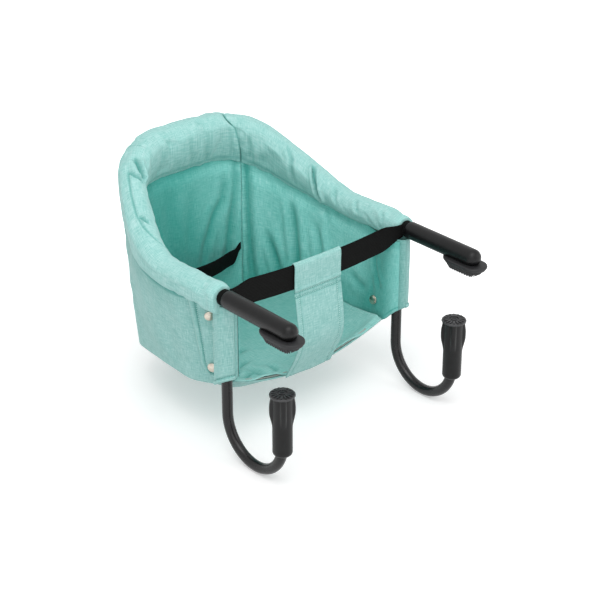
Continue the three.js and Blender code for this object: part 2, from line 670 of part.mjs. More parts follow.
function rimRings(share) {
  const { point, out } = hoopFrame(share);
  const swell = 1 - tuckDepth(share);
  const slope = Math.hypot(1, (HOOP_RISE / RISE_RUN) * 1.5);
  const screwReach = FOOT_R + GAP + BRACKET_SCREW_HEAD_T + 1;
  const bore = point.y < BRACKET_CLEAR + 1 ? screwReach : TUBE_R + RIM_BORE_PLAY;
  const outer = [];
  const inner = [];
  for (let k = 0; k < RIM_POINTS; k += 1) {
    const angle = (k / RIM_POINTS) * 2 * Math.PI;
    const [width, height] = rimSection(point.y, angle, swell);
    outer.push(point.clone().addScaledVector(out, width).add(new THREE.Vector3(0, 0, height)));
    inner.push(point.clone().addScaledVector(out, bore * Math.cos(angle))
      .add(new THREE.Vector3(0, 0, bore * slope * Math.sin(angle))));
  }
  return [outer, inner];
}

function rimPad(from, to, steps) {
  const tucks = [...RIM_TUCKS, ...RIM_TUCKS.map((at) => 1 - at)];
  const step = (to - from) / steps;
  const shares = [];
  for (let i = 0; i <= steps; i += 1) shares.push(from + i * step);
  const inside = tucks.filter((at) => at > from + step * 0.3 && at < to - step * 0.3);
  const kept = shares.filter((share, i) => i === 0 || i === steps
    || inside.every((at) => Math.abs(at - share) > step * 0.45));
  const near = BRACKET_STEPS.filter((at) => at > from && at < to);
  const clear = kept.filter((share) => near.every((at) => Math.abs(at - share) > step * 0.4));
  const stations = [...clear, ...inside, ...near].sort((a, b) => a - b);
  const rings = stations.map(rimRings);
  return boredLoft(rings.map(([outer]) => outer), rings.map(([, inner]) => inner));
}

// Room under each rim end for the bracket's web and foot
function bracketRoom(side) {
  const edges = [side * (HOOK_X - FOOT_R - PLAY), side * (WEB_OUT + PLAY)].sort((a, b) => a - b);
  return block(edges[0], edges[1], RIM_START - 1, BRACKET_CLEAR, -RIM_FRONT_DROP, ARM_Z);
}

function buildRim() {
  const seam = GAP / 2 / HOOP_LENGTH;
  addPiece('rim_pad_back', rimPad(1 - CORNER_SHARE + seam, CORNER_SHARE - seam, 14), MINT);
  const right = rimPad(CORNER_SHARE + seam, RIM_END_SHARE, 15);
  const left = rimPad(1 - RIM_END_SHARE, 1 - CORNER_SHARE - seam, 15);
  addPiece('rim_pad_left', carved(left, bracketRoom(-1)), MINT);
  addPiece('rim_pad_right', carved(right, bracketRoom(1)), MINT);
}

// Walls of the bucket, from under the rim's outer side to the seat's edge
const WALL_START = HOOK_REACH + WRAP_RUN;

function wallTopZ(y) {
  const tuck = mix(1, WALL_TUCK, ease(y, WALL_START, HOOP_DEPTH));
  return hoopHeight(y) - rimDrop(y) * tuck - 3 * GAP;
}

function wallFootZ(y) {
  const front = FOLD_Y - FOLD_AHEAD;
  const sides = mix(CORNER_DROP, SIDE_DROP, ease(y, front, front + SIDE_DROP_RUN));
  const from = HOOP_DEPTH - SEAT_DROP_AHEAD;
  return -sides - (SEAT_DROP - SIDE_DROP) * ease(y, from, from + SEAT_DROP_RUN);
}

// The wall's top and foot at a place along the hoop
function wallTopAt(share) {
  const { point, out } = hoopFrame(share);
  const place = point.clone().addScaledVector(out, rimOut(point.y) * WALL_SHARE);
  return place.setZ(wallTopZ(point.y));
}

function wallFootAt(share) {
  const { point, out } = hoopFrame(share);
  const turn = ease(point.y, HOOP_DEPTH - FOOT_TURN, HOOP_DEPTH - FOOT_TURN / 4);
  const reach = mix(-WALL_FOOT_IN, WALL_FOOT_OUT, turn);
  return point.clone().addScaledVector(out, reach).setZ(wallFootZ(point.y));
}

const WRAP_X = HOOK_X - FOOT_R - PLAY - PANEL_T / 2;
const WALL_FRONT_Z = wallTopZ(RIM_START) - 2;
const FOLD_ROUND = 8;               // depth of the round of the front fold

// The right wall's upper and lower edges, from the front fold to the middle of the back corner
function wallEdges() {
  const wrap = [
    [HOOK_X - GAP, FOLD_Y], [HOOK_X - FOLD_ROUND / 2, FOLD_Y],
    [WRAP_X + FOLD_ROUND / 4, FOLD_Y + FOLD_ROUND], [WRAP_X, HOOK_REACH], [WRAP_X, HOOK_REACH + FOOT_R],
  ];
  const top = wrap.map(([x, y]) => new THREE.Vector3(x, y, WALL_FRONT_Z));
  const bottom = wrap.map(([x, y]) => new THREE.Vector3(x, y, wallFootZ(y)));
  const last = HOOP_DEPTH - HOOP_CORNER_R * 0.48;
  const count = 5;
  for (let i = 0; i <= count; i += 1) {
    const share = shareAtY(mix(WALL_START, last, i / count));
    top.push(wallTopAt(share));
    bottom.push(wallFootAt(share));
  }
  top.push(wallTopAt(CORNER_SHARE));
  bottom.push(wallFootAt(CORNER_SHARE));
  return [top, bottom].map((points) => new THREE.CatmullRomCurve3(points, false, 'centripetal'));
}

const [WALL_TOP, WALL_BOTTOM] = wallEdges();

function bulgeShare(down) {
  return Math.sin(Math.PI * Math.sqrt(Math.max(down, 0)));
}

// A point of the right wall: along it from the front fold, and down it from the rim
function wallPoint(along, down) {
  const top = WALL_TOP.getPoint(along);
  const bottom = WALL_BOTTOM.getPoint(along);
  const way = WALL_TOP.getTangent(along);
  const out = new THREE.Vector3(way.y, -way.x, 0).normalize();
  const free = ease(along, 0.42, 0.6);
  const belly = WALL_BULGE * free * bulgeShare(down);
  const folds = FOLD_DEPTH * free * Math.sin(along * 46) * Math.sin(Math.PI * down) * down;
  return top.lerp(bottom, down).addScaledVector(out, belly + folds);
}

function mirroredX(point, side) {
  return new THREE.Vector3(side * point.x, point.y, point.z);
}

function sideWall(side) {
  const grid = [];
  const along = 24;
  const down = 5;
  const seam = 0.002;
  for (let i = 0; i <= along; i += 1) {
    const row = [];
    for (let j = 0; j <= down; j += 1) {
      row.push(mirroredX(wallPoint((i / along) * (1 - seam), j / down), side));
    }
    grid.push(row);
  }
  return sheet(grid, PANEL_T);
}

function backWall() {
  const across = 14;
  const down = 6;
  const grid = [];
  for (let i = 0; i <= across; i += 1) {
    const share = mix(CORNER_SHARE, 1 - CORNER_SHARE, i / across);
    const { out } = hoopFrame(share);
    const top = wallTopAt(share);
    const foot = wallFootAt(share);
    const seam = i % across === 0 ? Math.sign(i - across / 2) * GAP : 0;
    const row = [];
    for (let j = 0; j <= down; j += 1) {
      const drop = j / down;
      const place = top.clone().lerp(foot, drop);
      place.addScaledVector(out, WALL_BULGE * bulgeShare(drop));
      place.x += seam;
      row.push(place);
    }
    grid.push(row);
  }
  return sheet(grid, PANEL_T);
}

// Lining: the inner cloth, from the rim's inner seam to the seat's edge
const LINING_FRONT_Y = HOOK_REACH + SNAP_BACK + SNAP_D;
const LINING_IN = (PANEL_T + LINING_T) / 2 + LINING_GAP;

function liningColumn(share) {
  const { point, out } = hoopFrame(share);
  const top = point.clone().addScaledVector(out, -LINING_INSET);
  top.setZ(hoopHeight(point.y) - rimDrop(point.y) * WALL_TUCK - GAP / 2);
  const foot = wallFootAt(share).addScaledVector(out, -LINING_IN);
  return [top, foot];
}

function liningSheet(columns, down) {
  const grid = columns.map(([top, foot]) => {
    const row = [];
    for (let j = 0; j <= down; j += 1) row.push(top.clone().lerp(foot, j / down));
    return row;
  });
  return sheet(grid, LINING_T);
}

function sideLining(side) {
  const inward = new THREE.Vector3(-LINING_IN, 0, 0);
  const front = [WALL_TOP, WALL_BOTTOM].map((edge) => edgeAtY(edge, LINING_FRONT_Y).add(inward));
  const columns = [front];
  const count = 12;
  const seam = GAP / HOOP_LENGTH;
  const start = shareAtY(WALL_START);
  for (let i = 0; i <= count; i += 1) {
    columns.push(liningColumn(mix(start, CORNER_SHARE + seam, i / count)));
  }
  return liningSheet(columns.map((column) => column.map((point) => mirroredX(point, side))), 5);
}

// The back lining has a column at each end of the waist belt, which is sewn to it there
const WAIST_BELT_REACH = WAIST_BELT_SPAN / 2 / HOOP_LENGTH;

function backLining() {
  const shares = [0.5 - WAIST_BELT_REACH, 0.5 + WAIST_BELT_REACH];
  const count = 11;
  const seam = GAP / HOOP_LENGTH;
  for (let i = 0; i <= count; i += 1) {
    shares.push(mix(1 - CORNER_SHARE + seam, CORNER_SHARE - seam, i / count));
  }
  return liningSheet(shares.sort((a, b) => a - b).map(liningColumn), 5);
}

// Snap fasteners: where each one pierces the wall, and the way out of the seat there
function wallAtY(y, z) {
  let low = 0.1;
  let high = 0.9;
  for (let step = 0; step < 40; step += 1) {
    const middle = (low + high) / 2;
    if (wallPoint(middle, 0.5).y < y) low = middle;
    else high = middle;
  }
  const along = low;
  const top = WALL_TOP.getPoint(along).z;
  const bottom = WALL_BOTTOM.getPoint(along).z;
  const down = (top - z) / (top - bottom);
  const centre = wallPoint(along, down);
  const rearward = wallPoint(along + 0.01, down).sub(centre);
  const upward = wallPoint(along, down - 0.02).sub(centre);
  return { centre, out: rearward.cross(upward).normalize() };
}

const FLAP_LIFT = PANEL_T / 2 + LAP_PLAY + FLAP_T / 2;

// Flap: the outer half of the cloth round each hook, from the front fold to its snapped rear edge
function flapPoint(along, down) {
  const z = mix(WALL_FRONT_Z - 2, -CORNER_DROP + 2, down);
  const outX = WEB_OUT + 2 * PLAY + FLAP_T / 2;
  const rearY = FOLD_Y + mix(FLAP_TOP_L, FLAP_LOW_L, down);
  const lap = rearY - HOOK_REACH - SNAP_BACK + SNAP_D / 2;
  const rear = [rearY - lap, rearY - lap / 2, rearY].map((y) => {
    const { centre, out } = wallAtY(y, z);
    return centre.addScaledVector(out, FLAP_LIFT);
  });
  const plan = new THREE.CatmullRomCurve3([
    new THREE.Vector3(HOOK_X + GAP, FOLD_Y, z),
    new THREE.Vector3(HOOK_X + FOLD_ROUND / 2, FOLD_Y, z),
    new THREE.Vector3(outX - FOLD_ROUND / 4, FOLD_Y + FOLD_ROUND, z),
    new THREE.Vector3(outX, HOOK_REACH, z),
    new THREE.Vector3(outX - FOLD_ROUND / 4, HOOK_REACH + FOOT_R + PLAY, z),
    ...rear,
  ], false, 'centripetal');
  return plan.getPoint(along);
}

function flap(side) {
  const grid = [];
  const along = 13;
  const down = 3;
  for (let i = 0; i <= along; i += 1) {
    const row = [];
    for (let j = 0; j <= down; j += 1) row.push(mirroredX(flapPoint(i / along, j / down), side));
    grid.push(row);
  }
  return sheet(grid, FLAP_T);
}

function snapAxis(side, z) {
  const { centre, out } = wallAtY(HOOK_REACH + SNAP_BACK, z);
  return { centre: mirroredX(centre, side), out: mirroredX(out, side) };
}

function snapHole(side, z) {
  const { centre, out } = snapAxis(side, z);
  const reach = PANEL_T + FLAP_T + 4;
  return bar(centre.clone().addScaledVector(out, -reach), centre.clone().addScaledVector(out, reach),
    SNAP_SHANK_D / 2 + GAP, 8);
}

function buildSnap(name, side, z) {
  const { centre, out } = snapAxis(side, z);
  const place = (d) => centre.clone().addScaledVector(out, d);
  const panel = PANEL_T / 2 + SNAP_SEAT;
  const flapFace = FLAP_LIFT + FLAP_T / 2 + SNAP_SEAT;
  const meet = PANEL_T / 2 + GAP;
  const shank = SNAP_SHANK_D / 2;
  const stud = joined(bar(place(-panel - SNAP_T), place(-panel), SNAP_D / 2, 12),
    bar(place(-panel - 0.5), place(meet - GAP / 2), shank, 6));
  addPiece(`${name}_stud`, stud, NICKEL);
  const cap = joined(bar(place(flapFace), place(flapFace + SNAP_T), SNAP_D / 2, 12),
    bar(place(meet + GAP / 2), place(flapFace + 0.5), shank, 6));
  addPiece(`${name}_cap`, cap, NICKEL);
}

function buildCorner(name, side) {
  const holes = [SNAP_TOP_Z, SNAP_LOW_Z].map((z) => snapHole(side, z));
  addPiece(`${name}_side_panel`, carved(sideWall(side), ...holes), MINT);
  addPiece(`${name}_corner_flap`, carved(flap(side), ...holes), MINT);
  addPiece(`${name}_side_lining`, sideLining(side), MINT);
  buildSnap(`${name}_upper_snap`, side, SNAP_TOP_Z);
  buildSnap(`${name}_lower_snap`, side, SNAP_LOW_Z);
}

// Seat: a cloth base inside the walls, a stiff board on it and the lining over the board
function edgeAtY(edge, y) {
  let low = 0;
  let high = 1;
  for (let step = 0; step < 40; step += 1) {
    const middle = (low + high) / 2;
    if (edge.getPoint(middle).y < y) low = middle;
    else high = middle;
  }
  return edge.getPoint(low);
}

const SEAT_CLEAR = PANEL_T / 2 + LINING_GAP + LINING_T + SEAT_PLAY;
const SEAT_BACK_Y = HOOP_DEPTH - SEAT_CLEAR;
const SEAT_FRONT_Y = FOLD_Y + FOLD_ROUND;

function seatPoint(u, v, lift) {
  const hemY = mix(SEAT_FRONT_Y, FOLD_Y + HEM_SETBACK, 1 - u * u);
  const cornerY = WALL_BOTTOM.getPoint(1).y - SEAT_CLEAR - 2;
  const backY = mix(cornerY, SEAT_BACK_Y, ease(1 - Math.abs(u), 0, 0.45));
  const y = mix(hemY, backY, v);
  const edge = edgeAtY(WALL_BOTTOM, mix(SEAT_FRONT_Y, cornerY, v));
  const centreZ = mix(-CORNER_DROP - HEM_SAG, -SEAT_DROP + BASE_T, ease(v, 0, 0.1));
  const sideZ = Math.max(edge.z + BASE_T, centreZ);
  const rise = Math.abs(u) ** mix(2, 8, ease(v, 0, 0.14));
  return new THREE.Vector3(u * (edge.x - SEAT_CLEAR), y, mix(centreZ, sideZ, rise) + lift);
}

function seatSheet(thickness, lift) {
  const grid = [];
  const across = 12;
  const along = 8;
  for (let i = 0; i <= across; i += 1) {
    const row = [];
    for (let j = 0; j <= along; j += 1) row.push(seatPoint(mix(-1, 1, i / across), j / along, lift));
    grid.push(row);
  }
  return sheet(grid, thickness);
}

function buildSeat() {
  addPiece('seat_base', seatSheet(BASE_T, 0), MINT);
  const boardLow = -SEAT_DROP + BASE_T * 1.5 + 2 * GAP;
  const liningLift = BASE_T / 2 + BOARD_T + LINING_T / 2 + 4 * GAP;
  addPiece('seat_lining', seatSheet(LINING_T, liningLift), MINT_DARK);
  const outline = new THREE.Shape();
  const x = BOARD_W / 2 - BOARD_R;
  const back = SEAT_BACK_Y - BOARD_R;
  const y0 = back - BOARD_L + BOARD_R;
  const y1 = back - BOARD_R;
  outline.absarc(x, y1, BOARD_R, 0, Math.PI / 2, false);
  outline.absarc(-x, y1, BOARD_R, Math.PI / 2, Math.PI, false);
  outline.absarc(-x, y0, BOARD_R, Math.PI, Math.PI * 1.5, false);
  outline.absarc(x, y0, BOARD_R, Math.PI * 1.5, 2 * Math.PI, false);
  const board = new THREE.ExtrudeGeometry(
    outline, { depth: BOARD_T, bevelEnabled: false, curveSegments: 4 });
  board.translate(0, 0, boardLow);
  addPiece('seat_board', board, BOARD_GREY);
}

// Belts: the front belt looped round both arms, the tab that loops over it and the waist belt
const BELT_Y = (SLEEVE_BASE + RIM_START) / 2;
const BELT_DIP = 14;                // middle of the front belt below the arms
const BELT_BOW = 8;                 // middle of the front belt behind its ends

function beltMiddle(x) {
  const share = x / (ARM_X - TUBE_R);
  const slack = 1 - share * share;
  return new THREE.Vector3(x, BELT_Y + BELT_BOW * slack, ARM_Z - BELT_DIP * slack);
}

function buildFrontBelt() {
  const reach = ARM_X - TUBE_R - BELT_T + 2 * GAP;
  const loopL = RIM_START - SLEEVE_BASE - 2 * GAP;
  const grid = [];
  const steps = 16;
  for (let i = 0; i <= steps; i += 1) {
    const middle = beltMiddle(mix(-reach, reach, i / steps));
    const narrow = mix(BELT_W, TUBE_D + 2 * BELT_T, ease(Math.abs(middle.x), reach * 0.75, reach));
    grid.push([-0.5, 0, 0.5].map((w) => middle.clone().add(new THREE.Vector3(0, 0, w * narrow))));
  }
  const loops = SIDES.map(([, side]) => {
    const ends = [-0.5, 0.5].map((w) => new THREE.Vector3(side * ARM_X, BELT_Y + w * loopL, ARM_Z));
    return bar(ends[0], ends[1], TUBE_R + GAP + 2 * BELT_T, 20);
  });
  const bores = SIDES.map(([, side]) => bar(
    new THREE.Vector3(side * ARM_X, BELT_Y - BELT_W, ARM_Z),
    new THREE.Vector3(side * ARM_X, BELT_Y + BELT_W, ARM_Z), TUBE_R + GAP, 20));
  addPiece('front_belt', carved(joined(sheet(grid, BELT_T), ...loops), ...bores), WEBBING);
}

function buildCrotchTab() {
  const belt = beltMiddle(0);
  const half = (BELT_T + CROTCH_T) / 2 + 3 * GAP;
  const top = belt.z + BELT_W / 2 + CROTCH_T / 2 + 2 * GAP;
  const low = belt.z - BELT_W / 2 - LOOP_SEAM;
  const hem = seatPoint(0, 0, 0);
  const foot = new THREE.Vector3(0, hem.y - (BASE_T + CROTCH_T) / 2 - 3 * GAP, hem.z);
  const line = new THREE.CatmullRomCurve3([
    foot,
    new THREE.Vector3(0, mix(foot.y, belt.y - half, 0.45) - CROTCH_BELLY, mix(foot.z, low, 0.45)),
    new THREE.Vector3(0, belt.y - half, low),
    new THREE.Vector3(0, belt.y - half, belt.z),
    new THREE.Vector3(0, belt.y - half * 0.9, top - CROTCH_T),
    new THREE.Vector3(0, belt.y, top),
    new THREE.Vector3(0, belt.y + half * 0.9, top - CROTCH_T),
    new THREE.Vector3(0, belt.y + half, belt.z),
    new THREE.Vector3(0, belt.y + half, low + CROTCH_T),
  ], false, 'centripetal');
  const grid = [];
  const steps = 26;
  const across = 4;
  for (let i = 0; i <= steps; i += 1) {
    const middle = line.getPoint(i / steps);
    const row = [];
    for (let j = 0; j <= across; j += 1) {
      const w = j / across - 0.5;
      const curl = CROTCH_CURL * (w * w) * ease(low - middle.z, 0, low - foot.z);
      const taken = ease(middle.z, mix(foot.z, low, 0.6), low);
      const sway = beltMiddle(w * CROTCH_W).sub(belt).multiplyScalar(taken);
      row.push(new THREE.Vector3(w * CROTCH_W, middle.y + sway.y - curl, middle.z + sway.z + curl));
    }
    grid.push(row);
  }
  addPiece('crotch_tab', sheet(grid, CROTCH_T), MINT);
}

function buildWaistBelt() {
  const grid = [];
  const steps = 12;
  for (let i = 0; i <= steps; i += 1) {
    const t = mix(-1, 1, i / steps);
    const share = 0.5 + t * WAIST_BELT_REACH;
    const [top, foot] = liningColumn(share);
    const stand = (LINING_T + BELT_T) / 2 + WAIST_BELT_LIFT + WAIST_BELT_BOW * (1 - t * t);
    grid.push([-0.5, 0.5].map((w) => {
      const z = WAIST_BELT_Z + w * WAIST_BELT_W;
      const place = top.clone().lerp(foot, (top.z - z) / (top.z - foot.z));
      return place.addScaledVector(hoopFrame(share).out, -stand);
    }));
  }
  addPiece('waist_belt', sheet(grid, BELT_T), WEBBING);
}

buildHoop();
for (const [name, side] of SIDES) {
  buildBracket(name, side);
  buildSleeve(name, side);
  buildArmPad(name, side);
  buildHook(name, side);
  buildKnob(name, side, side < 0 ? Math.PI / 4 : 0);
  buildClampPad(name, side);
  buildCorner(name, side);
}
buildRim();
addPiece('back_panel', backWall(), MINT);
addPiece('back_lining', backLining(), MINT);
buildSeat();
buildFrontBelt();
buildCrotchTab();
buildWaistBelt();

export default chair;
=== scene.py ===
"""Hook-on table chair: its looks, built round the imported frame.

Metres, +Z up. The arms point to -Y, over the table, and left is -X. Shapes are worked out in
millimetres and become metres where a mesh is made.
"""

import logging
import math
from dataclasses import dataclass, field, replace
from enum import Enum
from functools import cached_property
from typing import Callable, Iterable, Sequence

import bmesh
import bpy
import numpy as np
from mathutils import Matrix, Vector


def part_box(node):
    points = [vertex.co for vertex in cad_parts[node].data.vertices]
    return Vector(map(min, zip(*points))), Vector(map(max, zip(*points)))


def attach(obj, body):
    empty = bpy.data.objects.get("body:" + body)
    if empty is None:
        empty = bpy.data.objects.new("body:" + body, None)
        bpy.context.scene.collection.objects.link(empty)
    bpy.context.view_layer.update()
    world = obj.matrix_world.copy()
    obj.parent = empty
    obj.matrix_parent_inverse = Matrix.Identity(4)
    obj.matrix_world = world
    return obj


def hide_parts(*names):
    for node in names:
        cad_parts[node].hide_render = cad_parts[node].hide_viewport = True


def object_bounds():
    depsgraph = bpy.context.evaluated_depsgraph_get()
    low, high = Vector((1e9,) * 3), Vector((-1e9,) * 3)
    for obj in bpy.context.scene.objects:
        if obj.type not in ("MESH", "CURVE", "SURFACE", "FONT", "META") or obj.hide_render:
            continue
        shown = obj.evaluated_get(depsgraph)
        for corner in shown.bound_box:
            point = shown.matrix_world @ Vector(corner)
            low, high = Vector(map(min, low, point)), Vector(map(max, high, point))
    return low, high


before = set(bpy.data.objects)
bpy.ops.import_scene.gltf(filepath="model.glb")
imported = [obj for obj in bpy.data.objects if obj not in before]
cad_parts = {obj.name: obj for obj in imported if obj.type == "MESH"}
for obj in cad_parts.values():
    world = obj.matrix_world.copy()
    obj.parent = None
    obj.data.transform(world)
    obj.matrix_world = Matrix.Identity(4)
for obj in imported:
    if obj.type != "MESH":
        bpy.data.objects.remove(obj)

CAD_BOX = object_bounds()
MM = 0.001
# How far a sheet's edge is rounded out, as a share of half its thickness.
EDGE_ROUND = 0.8
# Half width of the groove that a seam draws in the cloth.
GROOVE = 1.7
# Least length that a vector is divided by.
SMALLEST = 1e-9
LOG = logging.getLogger("chair")
Array = np.ndarray
Piece = bpy.types.Object
Socket = bpy.types.NodeSocket


class Held(Enum):
    """How a sheet of cloth is held."""

    STRETCHED = "stretched"
    HUNG = "hung"
    LAID = "laid"
    FOLDED = "folded"


class Side(Enum):
    """The two sides of the chair, as seen from its front."""

    LEFT = -1
    RIGHT = 1

    @property
    def word(self) -> str:
        """The side's name, as the frame's nodes and bodies spell it."""
        return self.name.lower()


def mix(low: Array, high: Array, share: Array) -> Array:
    """Straight blend from low to high."""
    return low + (high - low) * share


def ease(x: Array, low: float, high: float) -> Array:
    """Smooth step of x from 0 at low to 1 at high."""
    t = np.clip((np.asarray(x, float) - low) / (high - low), 0, 1)
    return t * t * (3 - 2 * t)


def hump(x: Array, middle: float, width: float) -> Array:
    """Bell of height 1 about a middle."""
    return np.exp(-(((x - middle) / width) ** 2))


def within(x: Array, start: tuple, end: tuple) -> Array:
    """0 to 1 from a range near the start of x, and back to 0 over a range from its greatest value."""
    return ease(x, *start) * ease(x.max() - x, *end)


def unit(vectors: Array) -> Array:
    """Vectors scaled to length 1 along the last axis."""
    return vectors / np.maximum(np.linalg.norm(vectors, axis=-1, keepdims=True), SMALLEST)


def soft_noise(u: Array, v: Array, seed: int) -> Array:
    """Smooth noise over a plane, with one free value per unit square.

    Args:
        u: Places along the first way.
        v: Places along the second way.
        seed: Fixed seed of the lattice.

    Returns:
        Values from -1 to 1.
    """
    size = 64
    lattice = np.random.default_rng(seed).uniform(-1, 1, (size, size))
    u, v = np.broadcast_arrays(np.asarray(u, float), np.asarray(v, float))
    iu, iv = np.floor(u).astype(int), np.floor(v).astype(int)
    fu, fv = ease(u - iu, 0, 1), ease(v - iv, 0, 1)
    rows = [mix(*(lattice[(iu + a) % size, (iv + b) % size] for a in (0, 1)), fu) for b in (0, 1)]
    return mix(*rows, fv)


@dataclass(frozen=True)
class Crease:
    """A fold drawn on cloth, with painted shade along it.

    Attributes:
        path: Places along and across the cloth, in millimetres.
        depth: How deep the fold lies, in millimetres. A negative one stands proud.
        width: Half width of the fold.
        lip: Height of the cloth beside the fold, as a share of its depth.
        fade: Share of the path at each end over which the fold dies out.
        dark: How much painted shade darkens the cloth in the fold, from 0 to 1.
    """

    path: tuple
    depth: float
    width: float
    lip: float = 0.35
    fade: float = 0.3
    dark: float = 0.0

    def near(self, u: Array, v: Array) -> tuple:
        """Nearness of places on the cloth to the fold.

        Args:
            u: Places along the cloth.
            v: Places across it.

        Returns:
            Their distances from the fold's line, and how far the fold is alive there.
        """
        points = np.array(self.path, float)
        runs = np.linalg.norm(np.diff(points, axis=0), axis=1)
        starts = np.concatenate([[0], np.cumsum(runs)])
        best = np.full(np.shape(u), 1e9)
        place = np.zeros(np.shape(u))
        for a, b, run, start in zip(points[:-1], points[1:], runs, starts):
            way = (b - a) / run
            t = np.clip((u - a[0]) * way[0] + (v - a[1]) * way[1], 0, run)
            far = np.hypot(u - a[0] - t * way[0], v - a[1] - t * way[1])
            place = np.where(far < best, start + t, place)
            best = np.minimum(best, far)
        share = place / starts[-1]
        return best, ease(share, 0, self.fade) * ease(1 - share, 0, self.fade)

    def lift(self, u: Array, v: Array) -> Array:
        """How far the fold moves the cloth.

        Args:
            u: Places along the cloth.
            v: Places across it.

        Returns:
            Millimetres outwards.
        """
        best, live = self.near(u, v)
        groove = hump(best, 0, self.width) - self.lip * hump(best, 2.2 * self.width, self.width)
        return -self.depth * live * groove

    def shade(self, u: Array, v: Array) -> Array:
        """How dark the fold's painted shade is at places on the cloth."""
        best, live = self.near(u, v)
        return self.dark * live * hump(best, 0, self.width)


def creased(u: Array, v: Array, folds: Iterable[Crease]) -> Array:
    """Sum of what several folds do to the cloth."""
    return sum((fold.lift(u, v) for fold in folds), np.zeros(np.shape(u)))


def shaded(u: Array, v: Array, folds: Iterable[Crease]) -> Array:
    """The darkest painted shade of several folds at places on the cloth.

    Args:
        u: Places along the cloth.
        v: Places across it.
        folds: The folds.

    Returns:
        How dark their painted shade is, from 0 to 1.
    """
    dark = np.zeros(np.shape(u))
    for fold in folds:
        dark = np.maximum(dark, fold.shade(u, v))
    return np.clip(dark, 0, 1)


def darken(piece: Piece, shade: Array) -> None:
    """Keeps the painted shade of each point of a piece, from its folds, seams and shaded places, in its fold
    attribute.
    """
    layer = piece.data.attributes.new("fold", "FLOAT", "POINT")
    layer.data.foreach_set("value", np.ravel(shade))


def spline(points: Array, share: float) -> Array:
    """A point of a smooth open curve through points, spaced by the root of their distance.

    Args:
        points: The curve's points, one a row.
        share: Place along the curve, with the same share for each span.

    Returns:
        The point there.
    """
    last = len(points) - 1
    run = min(max(share, 0.0), 1.0) * last
    i = min(int(run), last - 1)
    w = run - i
    p1, p2 = points[i], points[i + 1]
    p0 = points[i - 1] if i else 2 * p1 - p2
    p3 = points[i + 2] if i + 2 <= last else 2 * p2 - p1
    d0, d1, d2 = (max(np.linalg.norm(b - a), 1e-6) ** 0.5 for a, b in ((p0, p1), (p1, p2), (p2, p3)))
    t1 = ((p1 - p0) / d0 - (p2 - p0) / (d0 + d1) + (p2 - p1) / d1) * d1
    t2 = ((p2 - p1) / d1 - (p3 - p1) / (d1 + d2) + (p3 - p2) / d2) * d1
    return p1 + t1 * w + (3 * (p2 - p1) - 2 * t1 - t2) * w**2 + (2 * (p1 - p2) + t1 + t2) * w**3


def grid_normals(grid: Array) -> Array:
    """Normals of a grid of points, along rows crossed with along columns."""
    return unit(np.cross(np.gradient(grid, axis=0), np.gradient(grid, axis=1)))


def normals_to(grid: Array, way: tuple) -> Array:
    """Normals of a grid of points, turned to the side that a way points to."""
    normals = grid_normals(grid)
    return normals * np.sign((normals * np.array(way)).sum(axis=-1).mean())


def halved(low: float, high: float, rounds: int, short: Callable[[float], bool]) -> float:
    """Finds a place in a range by halving it.

    Args:
        low: Start of the range.
        high: End of the range.
        rounds: How many times it is halved.
        short: Says whether a place still falls short of the one that is looked for.

    Returns:
        The last place that falls short.
    """
    for _ in range(rounds):
        middle = (low + high) / 2
        if short(middle):
            low = middle
        else:
            high = middle
    return low


def surface_uv(grid: Array) -> Array:
    """Millimetres along and across a grid of points, measured on its surface.

    Args:
        grid: Points of the surface.

    Returns:
        Both lengths for each point.
    """
    along = np.linalg.norm(np.diff(grid, axis=0), axis=2).mean(axis=1)
    across = np.linalg.norm(np.diff(grid, axis=1), axis=2).mean(axis=0)
    u = np.concatenate([[0], np.cumsum(along)])
    v = np.concatenate([[0], np.cumsum(across)])
    return np.stack(np.meshgrid(u, v, indexing="ij"), axis=2)


def placed(name: str, data: bpy.types.ID) -> Piece:
    """A new object of the scene, at the origin.

    Args:
        name: Its name.
        data: Its mesh, light or camera.

    Returns:
        The object.
    """
    piece = bpy.data.objects.new(name, data)
    bpy.context.scene.collection.objects.link(piece)
    return piece


def face_out(mesh: bpy.types.Mesh, merge: float = 0.0) -> None:
    """Turns a mesh's faces outwards.

    Args:
        mesh: The mesh.
        merge: Distance within which its points are merged first, in metres.
    """
    bm = bmesh.new()
    bm.from_mesh(mesh)
    if merge:
        bmesh.ops.remove_doubles(bm, verts=bm.verts, dist=merge)
    bmesh.ops.recalc_face_normals(bm, faces=bm.faces)
    bm.to_mesh(mesh)
    bm.free()


def mesh_object(name: str, points: Array, faces: Sequence, corners: Sequence = ()) -> Piece:
    """A smooth mesh object at the origin with its faces turned outwards.

    Args:
        name: The piece's name.
        points: Its points in millimetres.
        faces: Point numbers of each face.
        corners: Weave coordinates of each face's corners in millimetres, in the faces' order.

    Returns:
        The new object.
    """
    mesh = bpy.data.meshes.new(name)
    mesh.from_pydata((np.asarray(points) * MM).tolist(), [], [list(map(int, f)) for f in faces])
    if len(corners):
        layer = mesh.uv_layers.new(name="weave")
        layer.data.foreach_set("uv", (np.concatenate(list(corners)) * MM).ravel())
    face_out(mesh)
    mesh.polygons.foreach_set("use_smooth", [True] * len(mesh.polygons))
    return placed(name, mesh)


def applied(piece: Piece) -> Piece:
    """Turns what a piece's modifiers give into its plain mesh.

    Args:
        piece: The piece.

    Returns:
        The piece.
    """
    graph = bpy.context.evaluated_depsgraph_get()
    mesh = bpy.data.meshes.new_from_object(piece.evaluated_get(graph))
    piece.modifiers.clear()
    piece.data = mesh
    return piece


def smoothed(piece: Piece, levels: int = 1) -> Piece:
    """One or more rounds of subdivision, applied.

    Args:
        piece: The piece.
        levels: How many rounds.

    Returns:
        The piece.
    """
    change = piece.modifiers.new("round", "SUBSURF")
    change.levels = change.render_levels = levels
    return applied(piece)


